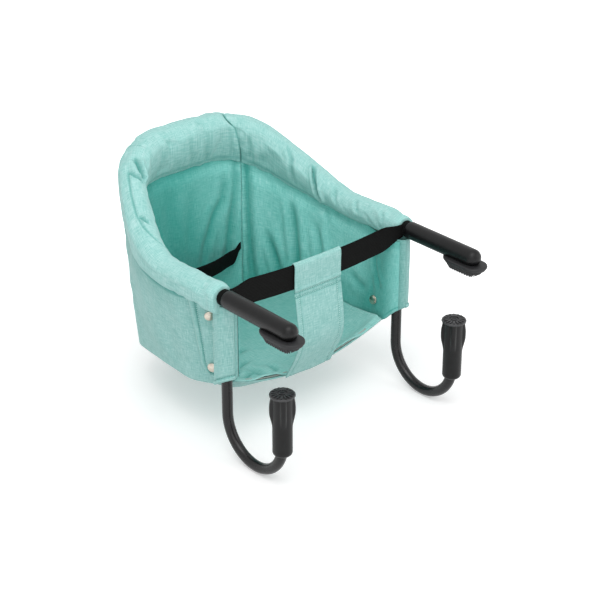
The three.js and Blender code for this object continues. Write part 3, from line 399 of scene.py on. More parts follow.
def tube_faces(rows: int, columns: int) -> tuple:
    """Faces of a grid whose rows are closed rings.

    Args:
        rows: Number of rings.
        columns: Points in a ring.

    Returns:
        Point numbers of each face, and the grid places of its corners.
    """
    i, j = (a.ravel() for a in np.meshgrid(np.arange(rows - 1), np.arange(columns), indexing="ij"))
    corners = ((0, 0), (1, 0), (1, 1), (0, 1))
    faces = np.stack([(i + a) * columns + (j + b) % columns for a, b in corners], axis=1)
    return faces, np.stack([np.stack([i + a, j + b], axis=1) for a, b in corners], axis=1)


def ring_loft(name: str, rings: Array, uv: Array = None, ends: tuple = (True, True)) -> Piece:
    """A closed body lofted through rings of points.

    Args:
        name: The piece's name.
        rings: Points in millimetres, as rings by points by 3.
        uv: Weave coordinates with one more column than the rings have points.
        ends: Whether the first and the last ring are filled.

    Returns:
        The new object.
    """
    rows, columns = rings.shape[:2]
    faces, places = tube_faces(rows, columns)
    if uv is None:
        uv = surface_uv(np.concatenate([rings, rings[:, :1]], axis=1))
    corners = [uv[p[:, 0], p[:, 1]] for p in places]
    faces = faces.tolist()
    for filled, row in zip(ends, (0, rows - 1)):
        if filled:
            faces.append([row * columns + j for j in range(columns)])
            corners.append(uv[row, :columns])
    return mesh_object(name, rings.reshape(-1, 3), faces, corners)


def thick_sheet(name: str, grid: Array, thickness: Array, uv: Array = None, shade: Array = None) -> Piece:
    """A closed sheet with round edges, half its thickness to each side of a grid of points.

    Args:
        name: The piece's name.
        grid: Points of its middle surface in millimetres, as rows by columns by 3.
        thickness: One thickness, or one for each point.
        uv: Weave coordinates for each point. Measured on the grid if left out.
        shade: Painted shade of each point, in the cloth's folds and other shaded places.

    Returns:
        The new object.
    """
    uv = surface_uv(grid) if uv is None else uv
    half = np.broadcast_to(np.asarray(thickness, float) / 2, grid.shape[:2])
    normals = grid_normals(grid)
    rows, columns = grid.shape[:2]
    top = grid + normals * half[..., None]
    low = grid - normals * half[..., None]
    last, first = (
        grid[:, a] + unit(grid[:, a] - grid[:, b]) * half[:, a, None] * EDGE_ROUND
        for a, b in ((-1, -2), (0, 1)))
    rings = np.concatenate([top, last[:, None], low[:, ::-1], first[:, None]], axis=1)
    ring_uv = np.concatenate([uv, uv[:, -1:], uv[:, ::-1], uv[:, :1], uv[:, :1]], axis=1)
    count = rings.shape[1]
    faces, places = tube_faces(rows, count)
    corners = [ring_uv[p[:, 0], p[:, 1]] for p in places]
    faces = faces.tolist()
    for row in (0, rows - 1):
        start = row * count
        for j in range(columns - 1):
            faces.append([start + j, start + j + 1, start + 2 * columns - 1 - j, start + 2 * columns - j])
            corners.append(uv[row, [j, j + 1, j + 1, j]])
        faces.append([start + columns - 1, start + columns, start + columns + 1])
        corners.append(uv[row, [-1, -1, -1]])
        faces.append([start, start + 2 * columns, start + 2 * columns + 1])
        corners.append(uv[row, [0, 0, 0]])
    piece = mesh_object(name, rings.reshape(-1, 3), faces, corners)
    if shade is not None:
        darken(piece, np.concatenate([shade, shade[:, -1:], shade[:, ::-1], shade[:, :1]], axis=1))
    return piece


def node_box(node: str) -> tuple:
    """Lowest and highest corner of a node's box in millimetres."""
    low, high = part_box(node)
    return np.array(low) / MM, np.array(high) / MM


def round_angles(count: int) -> Array:
    """Angles of points spaced evenly round a circle."""
    return np.linspace(0, 2 * np.pi, count, endpoint=False)


def turned_rings(profile: Sequence, sides: int) -> Array:
    """Rings of a turned body about +Z through [radius, height] pairs."""
    angles = round_angles(sides)
    return np.array([[[r * math.cos(a), r * math.sin(a), h] for a in angles] for r, h in profile])


class NodeSheet:
    """A node tree with short calls for adding and linking nodes."""

    def __init__(self, tree: bpy.types.NodeTree) -> None:
        """Keeps the tree that is filled."""
        self.tree = tree

    def add(self, kind: str, values: dict = None, **settings: object) -> bpy.types.Node:
        """Adds a node.

        Args:
            kind: The node's type name.
            values: Input values or source sockets, by the input's name or number.
            settings: Properties of the node.

        Returns:
            The new node.
        """
        node = self.tree.nodes.new(kind)
        for key, value in settings.items():
            setattr(node, key, value)
        self.feed(node, values or {})
        return node

    def feed(self, node: bpy.types.Node, values: dict) -> None:
        """Sets or links a node's inputs.

        Args:
            node: The node.
            values: Values or source sockets, by the input's name or number.
        """
        for key, value in values.items():
            if isinstance(value, Socket):
                self.tree.links.new(value, node.inputs[key])
            else:
                node.inputs[key].default_value = value

    def math(self, operation: str, *values: object) -> Socket:
        """A sum, product or other operation on one or two values."""
        return self.add("ShaderNodeMath", dict(enumerate(values)), operation=operation).outputs[0]

    def wave(self, value: Socket, length: float) -> Socket:
        """A sine wave of a length along a value."""
        return self.math("SINE", self.math("MULTIPLY", value, 2 * math.pi / length))

    def scaled(self, vector: Socket, factors: tuple) -> Socket:
        """A vector times a factor on each axis."""
        return self.add("ShaderNodeVectorMath", {0: vector, 1: factors}, operation="MULTIPLY").outputs[0]

    def noise(self, vector: Socket, scale: float, detail: float = 2.0) -> Socket:
        """Plain noise at places."""
        return self.add("ShaderNodeTexNoise", {"Vector": vector, "Scale": scale, "Detail": detail}).outputs[0]

    def ramp(self, value: Socket, *stops: tuple) -> Socket:
        """Colours along a value.

        Args:
            value: The value.
            stops: Place and sRGB code of each colour.

        Returns:
            The colour's socket.
        """
        node = self.add("ShaderNodeValToRGB", {0: value})
        marks = node.color_ramp.elements
        while len(marks) < len(stops):
            marks.new(0.5)
        for mark, (place, code) in zip(marks, stops):
            mark.position = place
            mark.color = paint(code)
        return node.outputs[0]


def paint(code: int) -> tuple:
    """A colour for a material.

    Args:
        code: Six digit sRGB code.

    Returns:
        Its linear parts.
    """
    parts = [((code >> shift) & 255) / 255 for shift in (16, 8, 0)]
    line = [p / 12.92 if p <= 0.04045 else ((p + 0.055) / 1.055) ** 2.4 for p in parts]
    return (*line, 1.0)


@dataclass(frozen=True)
class Finish:
    """A material made once, under its name, and shared by the pieces that have it."""

    name: str
    slot: str

    @cached_property
    def material(self) -> bpy.types.Material:
        """The finish's material, made at its first use.

        Returns:
            The material.
        """
        made = bpy.data.materials.new(self.name)
        made.use_nodes = True
        made.node_tree.nodes.clear()
        sheet = NodeSheet(made.node_tree)
        surface = sheet.add("ShaderNodeBsdfPrincipled")
        sheet.add("ShaderNodeOutputMaterial", {"Surface": surface.outputs[0]})
        self.fill(sheet, surface)
        return made

    def fill(self, sheet: NodeSheet, surface: bpy.types.Node) -> None:
        """Links the finish's colour, roughness and bump to the surface."""
        raise NotImplementedError


@dataclass(frozen=True)
class MelangeCloth(Finish):
    """Plain woven cloth of mixed pale and deep mint yarns, by their colours."""

    deep: int
    mid: int
    pale: int
    # Tint that the painted shade multiplies the cloth's colour by.
    painted_shade_tint: tuple = (0.3, 0.6, 0.57, 1.0)
    slub: tuple = (850.0, 75.0)
    thread: float = 0.0011

    def fill(self, sheet: NodeSheet, surface: bpy.types.Node) -> None:
        """Streaks of yarn both ways, a fine weave in the bump, slow changes of tone, and the painted shade
        that the fold attribute holds.

        Args:
            sheet: The material's nodes.
            surface: Its surface node.
        """
        place = sheet.add("ShaderNodeUVMap", uv_map="weave").outputs[0]
        warp = sheet.noise(sheet.scaled(place, (*self.slub, 1.0)), 1.0, 3.0)
        weft = sheet.noise(sheet.scaled(place, (*self.slub[::-1], 1.0)), 1.0, 3.0)
        slow = sheet.noise(place, 28.0, 3.0)
        yarn = sheet.math("ADD", sheet.math("MULTIPLY", warp, 0.5), sheet.math("MULTIPLY", weft, 0.5))
        tone = sheet.math("ADD", sheet.math("MULTIPLY", yarn, 0.85), sheet.math("MULTIPLY", slow, 0.15))
        colour = sheet.ramp(tone, (0.32, self.deep), (0.5, self.mid), (0.68, self.pale))
        # Painted shade: the fold attribute darkens the colour towards the painted shade tint in folds, seams
        # and shaded corners.
        fold = sheet.add("ShaderNodeAttribute", attribute_name="fold").outputs["Fac"]
        colour = sheet.add("ShaderNodeMix", {0: fold, 6: colour, 7: self.painted_shade_tint},
                           data_type="RGBA", blend_type="MULTIPLY").outputs[2]
        split = sheet.add("ShaderNodeSeparateXYZ", {0: place})
        weave = sheet.math("MULTIPLY", *(sheet.wave(split.outputs[k], self.thread) for k in (0, 1)))
        height = sheet.math("ADD", sheet.math("MULTIPLY", weave, 0.25), yarn)
        bump = sheet.add("ShaderNodeBump", {"Strength": 0.22, "Distance": 0.0006, "Height": height})
        rough = sheet.math("ADD", sheet.math("MULTIPLY", yarn, 0.2), 0.74)
        sheet.feed(surface, {
            "Base Color": colour, "Roughness": rough, "Normal": bump.outputs[0],
            "Sheen Weight": 0.18, "Sheen Roughness": 0.45, "Specular IOR Level": 0.25})


@dataclass(frozen=True)
class Webbing(Finish):
    """Black woven belt with fine ribs along it."""

    rib: float = 0.0021
    twill: float = 0.0016

    def fill(self, sheet: NodeSheet, surface: bpy.types.Node) -> None:
        """Ribs along the belt crossed by a fine twill.

        Args:
            sheet: The material's nodes.
            surface: Its surface node.
        """
        place = sheet.add("ShaderNodeUVMap", uv_map="weave").outputs[0]
        split = sheet.add("ShaderNodeSeparateXYZ", {0: place})
        along, across = split.outputs[0], split.outputs[1]
        rib = sheet.wave(across, self.rib)
        twill = sheet.wave(sheet.math("ADD", along, across), self.twill)
        height = sheet.math("ADD", rib, sheet.math("MULTIPLY", twill, 0.5))
        fleck = sheet.noise(sheet.scaled(place, (300.0, 900.0, 1.0)), 1.0, 3.0)
        tone = sheet.math("ADD", sheet.math("MULTIPLY", height, 0.08), fleck)
        colour = sheet.ramp(tone, (0.3, 0x040404), (0.75, 0x0C0D0C))
        bump = sheet.add("ShaderNodeBump", {"Strength": 0.45, "Distance": 0.0005, "Height": height})
        sheet.feed(surface, {
            "Base Color": colour, "Normal": bump.outputs[0], "Roughness": 0.8, "Specular IOR Level": 0.12})


@dataclass(frozen=True)
class Moulded(Finish):
    """A black moulded or coated surface with a range of roughness and a grain of a scale and height."""

    dark: int
    worn: int
    rough: tuple
    grain: tuple
    shine: float

    def fill(self, sheet: NodeSheet, surface: bpy.types.Node) -> None:
        """Fine grain in the bump, with slow scuffing in colour and roughness.

        Args:
            sheet: The material's nodes.
            surface: Its surface node.
        """
        place = sheet.add("ShaderNodeTexCoord").outputs["Object"]
        scale, height = self.grain
        grain = sheet.noise(place, scale, 3.0)
        scuff = sheet.noise(place, 70.0, 5.0)
        colour = sheet.ramp(scuff, (0.35, self.dark), (0.8, self.worn))
        low, high = self.rough
        rough = sheet.math("ADD", sheet.math("MULTIPLY", scuff, high - low), low)
        bump = sheet.add("ShaderNodeBump", {"Strength": 0.3, "Distance": height, "Height": grain})
        sheet.feed(surface, {
            "Base Color": colour, "Roughness": rough, "Normal": bump.outputs[0],
            "Specular IOR Level": self.shine})


@dataclass(frozen=True)
class PlatedMetal(Finish):
    """Bright plated metal of two tones with fine brushing."""

    dark: int
    bright: int
    rough: float

    def fill(self, sheet: NodeSheet, surface: bpy.types.Node) -> None:
        """Brushed tone and a little uneven roughness.

        Args:
            sheet: The material's nodes.
            surface: Its surface node.
        """
        place = sheet.add("ShaderNodeTexCoord").outputs["Object"]
        brush = sheet.noise(sheet.scaled(place, (400.0, 400.0, 2600.0)), 1.0, 3.0)
        colour = sheet.ramp(brush, (0.3, self.dark), (0.7, self.bright))
        rough = sheet.math("ADD", sheet.math("MULTIPLY", brush, 0.15), self.rough)
        sheet.feed(surface, {"Base Color": colour, "Roughness": rough, "Metallic": 1.0})


@dataclass(frozen=True)
class PressedBoard(Finish):
    """Grey pressed board, flecked."""

    def fill(self, sheet: NodeSheet, surface: bpy.types.Node) -> None:
        """Flecks of light and dark fibre.

        Args:
            sheet: The material's nodes.
            surface: Its surface node.
        """
        place = sheet.add("ShaderNodeTexCoord").outputs["Object"]
        fleck = sheet.noise(place, 900.0, 4.0)
        colour = sheet.ramp(fleck, (0.35, 0x8B9690), (0.65, 0xB4BFB8))
        sheet.feed(surface, {"Base Color": colour, "Roughness": 0.75})


@dataclass(frozen=True)
class Finishes:
    """Every finish of the chair."""

    mint: Finish = MelangeCloth("mint cloth", "mint_cloth", 0x74B2AB, 0x94C7C2, 0xBADFDC)
    # Painted light: the rim, lining and seat are the panels' mint cloth in other tones, set to how light
    # falls on them; the rim and seat lighter, the lining greener and more saturated.
    rim: Finish = MelangeCloth("mint rim cloth", "mint_cloth", 0x7CBBB5, 0x9CD0CB, 0xC1E4E2)
    lining: Finish = MelangeCloth("mint lining", "mint_cloth", 0x6ABFB6, 0x8CD6CF, 0xB1E7E3)
    seat: Finish = MelangeCloth("mint seat", "lining_cloth", 0x77C0B8, 0x95D0CA, 0xB6E1DD)
    thread: Finish = MelangeCloth("pale thread", "mint_cloth", 0xB0DFDB, 0xCFECE9, 0xE6F6F5)
    webbing: Finish = Webbing("black webbing", "webbing")
    plastic: Finish = Moulded(
        "black plastic", "black_plastic", 0x060607, 0x0F1011, (0.3, 0.44), (2600.0, 0.0003), 0.28)
    rubber: Finish = Moulded(
        "black rubber", "black_rubber", 0x151517, 0x242527, (0.5, 0.7), (1500.0, 0.0004), 0.45)
    disc: Finish = Moulded(
        "disc rubber", "black_rubber", 0x1C1C1E, 0x303033, (0.35, 0.5), (1500.0, 0.0004), 0.6)
    steel: Finish = Moulded(
        "black coated steel", "black_steel", 0x050506, 0x0C0C0D, (0.2, 0.32), (1800.0, 0.0002), 0.4)
    nickel: Finish = PlatedMetal("nickel", "nickel", 0xA8A094, 0xD4CCBF, 0.3)
    stud: Finish = PlatedMetal("dark nickel", "nickel", 0x8E8A7A, 0xD6D1C2, 0.16)
    zinc: Finish = PlatedMetal("zinc", "zinc", 0x8F9294, 0xC3C6C8, 0.3)
    dull_zinc: Finish = PlatedMetal("dull zinc", "zinc", 0x303133, 0x48494B, 0.45)
    board: Finish = PressedBoard("grey board", "board")


def settle(piece: Piece, body: str, finish: Finish, nodes: Sequence = ()) -> Piece:
    """Gives a piece its finish and body, and hides the nodes that it replaces.

    Args:
        piece: The finished piece.
        body: Name of the body that it moves with.
        finish: Its finish.
        nodes: Nodes that it replaces.

    Returns:
        The piece.
    """
    piece.data.materials.clear()
    piece.data.materials.append(finish.material)
    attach(piece, body)
    if nodes:
        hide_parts(*nodes)
    LOG.info("%s: %d faces on %s", piece.name, len(piece.data.polygons), body)
    return piece


def dress(node: str, finish: Finish) -> None:
    """Gives a node that stays its finish.

    Args:
        node: The node's name.
        finish: The finish.
    """
    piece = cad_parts[node]
    piece.data.materials.clear()
    piece.data.materials.append(finish.material)
    LOG.info("%s stays, in %s", node, finish.name)


class StitchRows:
    """Sewn stitches along lines, made by one node tree."""

    def __init__(self, finish: Finish) -> None:
        """Builds the tree.

        Args:
            finish: The thread's finish.
        """
        self.finish = finish
        self.tree = bpy.data.node_groups.new("stitch rows", "GeometryNodeTree")
        face = self.tree.interface
        face.new_socket("Geometry", in_out="INPUT", socket_type="NodeSocketGeometry")
        self.keys = {
            name: face.new_socket(name, in_out="INPUT", socket_type="NodeSocketFloat").identifier
            for name in ("Pitch", "Length", "Thickness")
        }
        face.new_socket("Geometry", in_out="OUTPUT", socket_type="NodeSocketGeometry")
        sheet = NodeSheet(self.tree)
        given = sheet.add("NodeGroupInput")
        line = sheet.add("GeometryNodeMeshToCurve", {"Mesh": given.outputs["Geometry"]})
        spots = sheet.add("GeometryNodeCurveToPoints",
                          {"Curve": line.outputs[0], "Length": given.outputs["Pitch"]}, mode="LENGTH")
        turn = sheet.add("FunctionNodeAlignRotationToVector", {"Vector": spots.outputs["Tangent"]}, axis="X")
        bead = sheet.add("GeometryNodeMeshUVSphere", {"Segments": 6, "Rings": 4, "Radius": 0.5})
        size = sheet.add("ShaderNodeCombineXYZ", {
            0: given.outputs["Length"], 1: given.outputs["Thickness"], 2: given.outputs["Thickness"]})
        rows = sheet.add("GeometryNodeInstanceOnPoints", {
            "Points": spots.outputs["Points"], "Instance": bead.outputs["Mesh"],
            "Rotation": turn.outputs[0], "Scale": size.outputs[0]})
        real = sheet.add("GeometryNodeRealizeInstances", {"Geometry": rows.outputs[0]})
        dressed = sheet.add("GeometryNodeSetMaterial", {
            "Geometry": real.outputs[0], "Material": finish.material})
        sheet.add("NodeGroupOutput", {"Geometry": dressed.outputs[0]})

    def sew(self, name: str, lines: Sequence, body: str, pitch: float = 3.2, length: float = 2.3,
            thickness: float = 0.8) -> Piece:
        """Lays stitches along lines.

        Args:
            name: The piece's name.
            lines: Lines of points in millimetres.
            body: The body that they move with.
            pitch: From stitch to stitch, in millimetres.
            length: Of one stitch.
            thickness: Of the thread.

        Returns:
            The stitches as one piece.
        """
        points, edges = [], []
        for line in lines:
            first = len(points)
            points.extend((np.asarray(line) * MM).tolist())
            edges.extend((k, k + 1) for k in range(first, len(points) - 1))
        mesh = bpy.data.meshes.new(name)
        mesh.from_pydata(points, edges, [])
        piece = placed(name, mesh)
        change = piece.modifiers.new("stitches", "NODES")
        change.node_group = self.tree
        for key, value in zip(("Pitch", "Length", "Thickness"), (pitch, length, thickness)):
            change[self.keys[key]] = value * MM
        applied(piece)
        piece.data.uv_layers.new(name="weave")
        return settle(piece, body, self.finish)


@dataclass
class Hoop:
    """The bent tube that carries the cloth, seen as places along it from the middle of the back."""

    tube_r: float = 8.0
    arm_x: float = 175.0
    arm_z: float = 25.05
    taper_y: float = 290.0
    depth: float = 424.0
    back_w: float = 216.0
    corner_r: float = 105.0
    bend_r: float = 200.0
    rise: float = 120.0
    rise_y: float = 230.0
    rise_run: float = 250.0
    front_y: float = 90.0
    table: Array = field(init=False, repr=False)

    def __post_init__(self) -> None:
        """Works out the right half's points, every millimetre."""
        taper = math.atan2(self.arm_x - self.back_w / 2, self.depth - self.taper_y)
        lead = self.bend_r * math.tan(taper / 2)
        corner_x = self.back_w / 2 - self.corner_r * math.tan((math.pi / 2 - taper) / 2)
        bends = (
            (corner_x, self.depth - self.corner_r, self.corner_r, math.pi / 2, taper),
            (self.arm_x - self.bend_r, self.taper_y - lead, self.bend_r, taper, 0))
        spine = [(0.0, self.depth)]
        for x, y, r, start, end in bends:
            spine += [(x + r * math.cos(t), y + r * math.sin(t)) for t in np.linspace(start, end, 60)]
        spine.append((self.arm_x, self.front_y))
        spine = np.array(spine)
        run = np.concatenate([[0], np.cumsum(np.linalg.norm(np.diff(spine, axis=0), axis=1))])
        s = np.arange(0, run[-1], 1.0)
        x, y = np.interp(s, run, spine[:, 0]), np.interp(s, run, spine[:, 1])
        out = unit(np.stack([-np.gradient(y), np.gradient(x)], axis=1))
        self.table = np.column_stack([s, x, y, out])

    def height(self, y: Array) -> Array:
        """Height of the tube's axis at a depth."""
        return self.arm_z + self.rise * ease(y, self.rise_y, self.rise_y + self.rise_run)

    def at(self, s: Array) -> tuple:
        """Looks up places along the hoop.

        Args:
            s: Places from the middle of the back, negative on the left.

        Returns:
            Points of the tube's axis, and the way out of the seat there.
        """
        s = np.asarray(s, float)
        x, y, out_x, out_y = (np.interp(np.abs(s), self.table[:, 0], c) for c in self.table[:, 1:].T)
        sign = np.where(s < 0, -1.0, 1.0)
        points = np.stack([x * sign, y, self.height(y)], axis=-1)
        return points, unit(np.stack([out_x * sign, out_y, np.zeros_like(y)], axis=-1))

    def place_at(self, y: float) -> float:
        """Place along the right half at which it comes forward to a depth."""
        half = self.table[self.table[:, 2] < self.depth - 0.01]
        return float(np.interp(-y, -half[:, 2], half[:, 0]))


@dataclass
class PaddedRim:
    """The padded rim round the hoop, in three sewn lengths.

    Attributes:
        deepen: How much further the soft cover hangs, at the front and at the back.
        draw_in: How much the inner lower quarter narrows to its seam.
        lean: How far the right corner seam leans to the back at the crest.
        most: The most that the stuffing moves a point, in metres.
        flat: Width of cloth round the section, as a share of a mean circle's.
    """

    hoop: Hoop
    finishes: Finishes
    start_y: float = 116.0
    slim_y: float = 235.0
    full_y: float = 402.0
    radius: tuple = (18.0, 20.0)
    out: tuple = (20.0, 25.0)
    drop: tuple = (21.0, 52.0)
    deepen: tuple = (3.0, 9.0)
    draw_in: float = 0.34
    corner_turn: float = 31.0
    lean: float = 27.0
    around: int = 44
    step: float = 4.4
    fill: float = 0.75
    most: float = 0.002
    frames: int = 20
    pressure: float = 4.0
    cover: float = 2.6
    low_seam: float = 232.0
    flat: float = 0.75

    def __post_init__(self) -> None:
        """Places of the corner seams and of the front ends along the hoop."""
        bend = 1 - math.cos(math.radians(self.corner_turn))
        self.corner = self.hoop.place_at(self.hoop.depth - self.hoop.corner_r * bend)
        self.end = self.hoop.place_at(self.start_y)

    def size(self, pair: tuple, y: Array) -> Array:
        """One of the section's sizes at a depth."""
        return mix(pair[0], pair[1], ease(y, self.slim_y, self.full_y))

    def section(self, y: Array, angle: Array, swell: Array) -> tuple:
        """The section's shape.

        Args:
            y: Depths along the rim.
            angle: Angles round the section.
            swell: How full the pad is there.

        Returns:
            Ways out and up from the tube's axis.
        """
        rise, across = np.sin(angle), np.cos(angle)
        radius = self.size(self.radius, y) * swell
        outward = self.size(self.out, y) * swell
        drop = self.size(self.drop, y) + self.size(self.deepen, y)
        width = np.where(across > 0, outward * across, radius * across)
        width = np.where((rise < 0) & (across > 0), outward * np.sqrt(np.maximum(across, 0)), width)
        width = np.where((rise < 0) & (across <= 0), radius * across * (1 - self.draw_in * rise**2), width)
        height = np.where(rise >= 0, radius * rise, drop * rise)
        height = np.where((rise < 0) & (across > 0), -drop * np.sqrt(np.maximum(-rise, 0)), height)
        return width, height

    def surface(self, s: Array, angle: Array, swell: Array) -> Array:
        """Points of the rim's surface.

        Args:
            s: Places along the hoop.
            angle: Angles round the section.
            swell: How full the pad is there.

        Returns:
            The points.
        """
        point, out = self.hoop.at(s)
        width, height = self.section(point[..., 1], angle, swell)
        point = point + out * width[..., None]
        point[..., 2] += height
        return point

    def seam_at(self, angle: Array) -> Array:
        """Place of the right corner seam along the hoop, at angles round the section."""
        turn = np.degrees(angle)
        return self.corner - self.lean * ease(turn, 20, 80) * (1 - ease(turn, 115, 235))

    def folds(self, name: str) -> list:
        """The tucks and puckers of one length, with their painted shade, as places along it and degrees round
        it.

        Args:
            name: The length's node.

        Returns:
            The folds.
        """
        if name == "rim_pad_left":
            return [
                Crease(((-143, 62), (-152, 94), (-159, 150)), 3.2, 1.9, 0.5, 0.12, 0.8),
                Crease(((-122, 92), (-140, 126), (-153, 152)), 6.0, 3.6, 0.7, 0.2, 1.0),
                Crease(((-212, 74), (-221, 98), (-226, 116)), 3.4, 2.2, 0.6, 0.2, 0.9),
                Crease(((-300, 100), (-306, 140), (-310, 175)), 1.0, 5.0, 0.4, 0.4),
            ]
        if name == "rim_pad_right":
            return [
                Crease(((222, 88), (232, 148), (241, 194), (252, 240)), 6.5, 2.8, 0.6, 0.14, 1.0),
                Crease(((177, 100), (191, 154), (193, 240)), 2.6, 3.4, 0.6, 0.25, 0.45),
                Crease(((266, 98), (275, 145), (284, 192)), 2.0, 3.0, 0.5, 0.3, 0.3),
                Crease(((314, 104), (324, 145), (334, 186)), 2.0, 3.0, 0.5, 0.3, 0.3),
                Crease(((371, 112), (380, 140), (390, 172)), 1.8, 3.0, 0.5, 0.3, 0.3),
                Crease(((112, 176), (116, 205), (114, 236)), 2.4, 4.5, 0.5, 0.3, 0.35),
            ]
        return [
            Crease(((-5, 140), (-2, 202), (7, 250)), 1.8, 4.0, 0.5, 0.3, 0.2),
            Crease(((12, 112), (26, 128), (30, 158)), 1.8, 4.0, 0.5, 0.35, 0.25),
            Crease(((21, 172), (30, 210), (39, 250)), 2.0, 5.0, 0.5, 0.3, 0.3),
            Crease(((-57, 138), (-46, 170), (-36, 198)), 1.6, 4.0, 0.5, 0.35, 0.2),
            Crease(((72, 170), (80, 205), (84, 240)), 1.6, 5.0, 0.5, 0.3, 0.25),
        ]

    def crest(self, name: str) -> Crease:
        """The seam that runs along the top of a length, with painted shade in its groove, as places along it
        and degrees round it.

        Args:
            name: The length's node.

        Returns:
            The seam.
        """
        paths = {
            "rim_pad_left": ((-143, 70), (-178, 64), (-213, 70), (-233, 82), (-254, 108), (-272, 148)),
            "rim_pad_back": ((-98, 48), (0, 48), (70, 48)),
            "rim_pad_right": ((105, 48), (240, 48), (400, 48)),
        }
        return Crease(paths[name], 1.5, 1.3, 0.5, 0.04, 0.75)

    def swell(self, s: Array, angle: Array) -> Array:
        """How full the pad is along the rim: less at the corner seams and the front ends.

        Args:
            s: Places along the hoop.
            angle: Angles round the section.

        Returns:
            Shares of the full section.
        """
        far = s - self.seam_at(angle)
        seam = hump(far, 0, 6.0) * 0.12 + hump(far, 0, 22.0) * 0.05 + hump(s, -150, 12.0) * 0.05
        seam = seam + hump(s, -165, 45.0) * 0.12
        front = 0.12 * ease(np.abs(s), self.end - 9, self.end)
        return 1 - seam - front

    def grid(self, low: Array, high: Array, angle: Array) -> Array:
        """Places along a length of rim, between ends that may change round it.

        Args:
            low: Its first place, one or as many as the angles.
            high: Its last place, likewise.
            angle: Angles round the section.

        Returns:
            The places, as rows by angles.
        """
        count = int(round(np.max(high - low) / self.step))
        share = np.linspace(0, 1, count + 1)[:, None]
        s = mix(low + 0 * angle, high + 0 * angle, share)
        inner = 0.8
        return np.concatenate([s[:1], s[:1] + inner, s[1:-1], s[-1:] - inner, s[-1:]])

    def inflate(self, piece: Piece, pins: Array, cap: float) -> None:
        """Blows a pad up as cloth under pressure and keeps what it moved, up to a cap.

        Args:
            piece: The pad.
            pins: How firmly each point is held, from 0 to 1.
            cap: The most that a point may move, in metres.
        """
        start = np.empty(len(piece.data.vertices) * 3)
        piece.data.vertices.foreach_get("co", start)
        group = piece.vertex_groups.new(name="sewn")
        for index, weight in enumerate(pins):
            group.add([index], float(weight), "REPLACE")
        cloth = piece.modifiers.new("cloth", "CLOTH")
        settings = cloth.settings
        settings.quality = 5
        settings.mass = 0.25
        settings.tension_stiffness = settings.compression_stiffness = 10
        settings.bending_stiffness = 0.3
        settings.shrink_min = -0.035
        settings.use_pressure = True
        settings.uniform_pressure_force = self.pressure
        settings.vertex_group_mass = "sewn"
        settings.effector_weights.gravity = 0
        cloth.collision_settings.use_collision = False
        cloth.point_cache.frame_start, cloth.point_cache.frame_end = 1, self.frames
        scene = bpy.context.scene
        for step in range(1, self.frames + 1):
            scene.frame_set(step)
        graph = bpy.context.evaluated_depsgraph_get()
        moved = np.empty_like(start)
        piece.evaluated_get(graph).data.vertices.foreach_get("co", moved)
        piece.modifiers.clear()
        piece.vertex_groups.clear()
        scene.frame_set(1)
        shift = (moved - start).reshape(-1, 3)
        far = np.linalg.norm(shift, axis=1, keepdims=True)
        shift *= np.minimum(1, cap / np.maximum(far, SMALLEST))
        piece.data.vertices.foreach_set("co", start + shift.ravel())
        piece.data.update()

    def pad(self, name: str, low: Array, high: Array, angle: Array) -> Piece:
        """One length of rim: stuffed, sewn in at its ends and creased.

        Args:
            name: The node that it stands for.
            low: Its first place along the hoop, one or as many as the angles.
            high: Its last place, likewise.
            angle: Angles round the section.

        Returns:
            The finished pad.
        """
        s = self.grid(low, high, angle)
        angle = np.broadcast_to(angle, s.shape)
        rings = self.surface(s, angle, self.swell(s, angle) * 0.985)
        closing = []
        for row in (0, -1):
            middle = self.hoop.at(s[row])[0]
            closing.append(middle + (rings[row] - middle) * 0.62)
        rings = np.concatenate([closing[0][None], rings, closing[1][None]])
        s = np.concatenate([s[:1], s, s[-1:]])
        angle = np.concatenate([angle[:1], angle, angle[-1:]])
        mean = (self.radius[1] + self.out[1]) / 2
        turn = np.concatenate([angle, np.full((len(angle), 1), 2 * np.pi)], axis=1)
        uv = np.stack([np.concatenate([s, s[:, :1]], axis=1), turn * mean], axis=2)
        piece = ring_loft(name + "_cover", rings, uv)
        seam = hump(np.degrees(angle), self.low_seam, 9)
        ends = ease(np.minimum(s - low, high - s), 5, 0.5)
        self.inflate(piece, np.clip(seam + ends, 0, 1).ravel(), self.most)
        smoothed(piece)
        self.crease(piece, name, mean)
        return piece

    def crease(self, piece: Piece, name: str, mean: float) -> None:
        """Moves a smooth pad's points along its normals for its seams, tucks and puckers, and keeps their
        painted shade.

        Args:
            piece: The pad.
            name: The node that it stands for.
            mean: Mean radius of its section, by which its weave was laid.
        """
        mesh = piece.data
        count = len(mesh.vertices)
        loops = np.empty(len(mesh.loops), int)
        mesh.loops.foreach_get("vertex_index", loops)
        flat = np.empty(len(mesh.loops) * 2)
        mesh.uv_layers["weave"].data.foreach_get("uv", flat)
        place = np.zeros((count, 2))
        place[loops] = flat.reshape(-1, 2) / MM
        s, angle = place[:, 0], np.degrees(place[:, 1] / mean)
        round_by = mean * self.flat
        across = np.radians(angle) * round_by
        folds = [
            replace(fold, path=tuple((a, math.radians(b) * round_by) for a, b in fold.path))
            for fold in self.folds(name) + [self.crest(name)]
        ]
        lift = creased(s, across, folds)
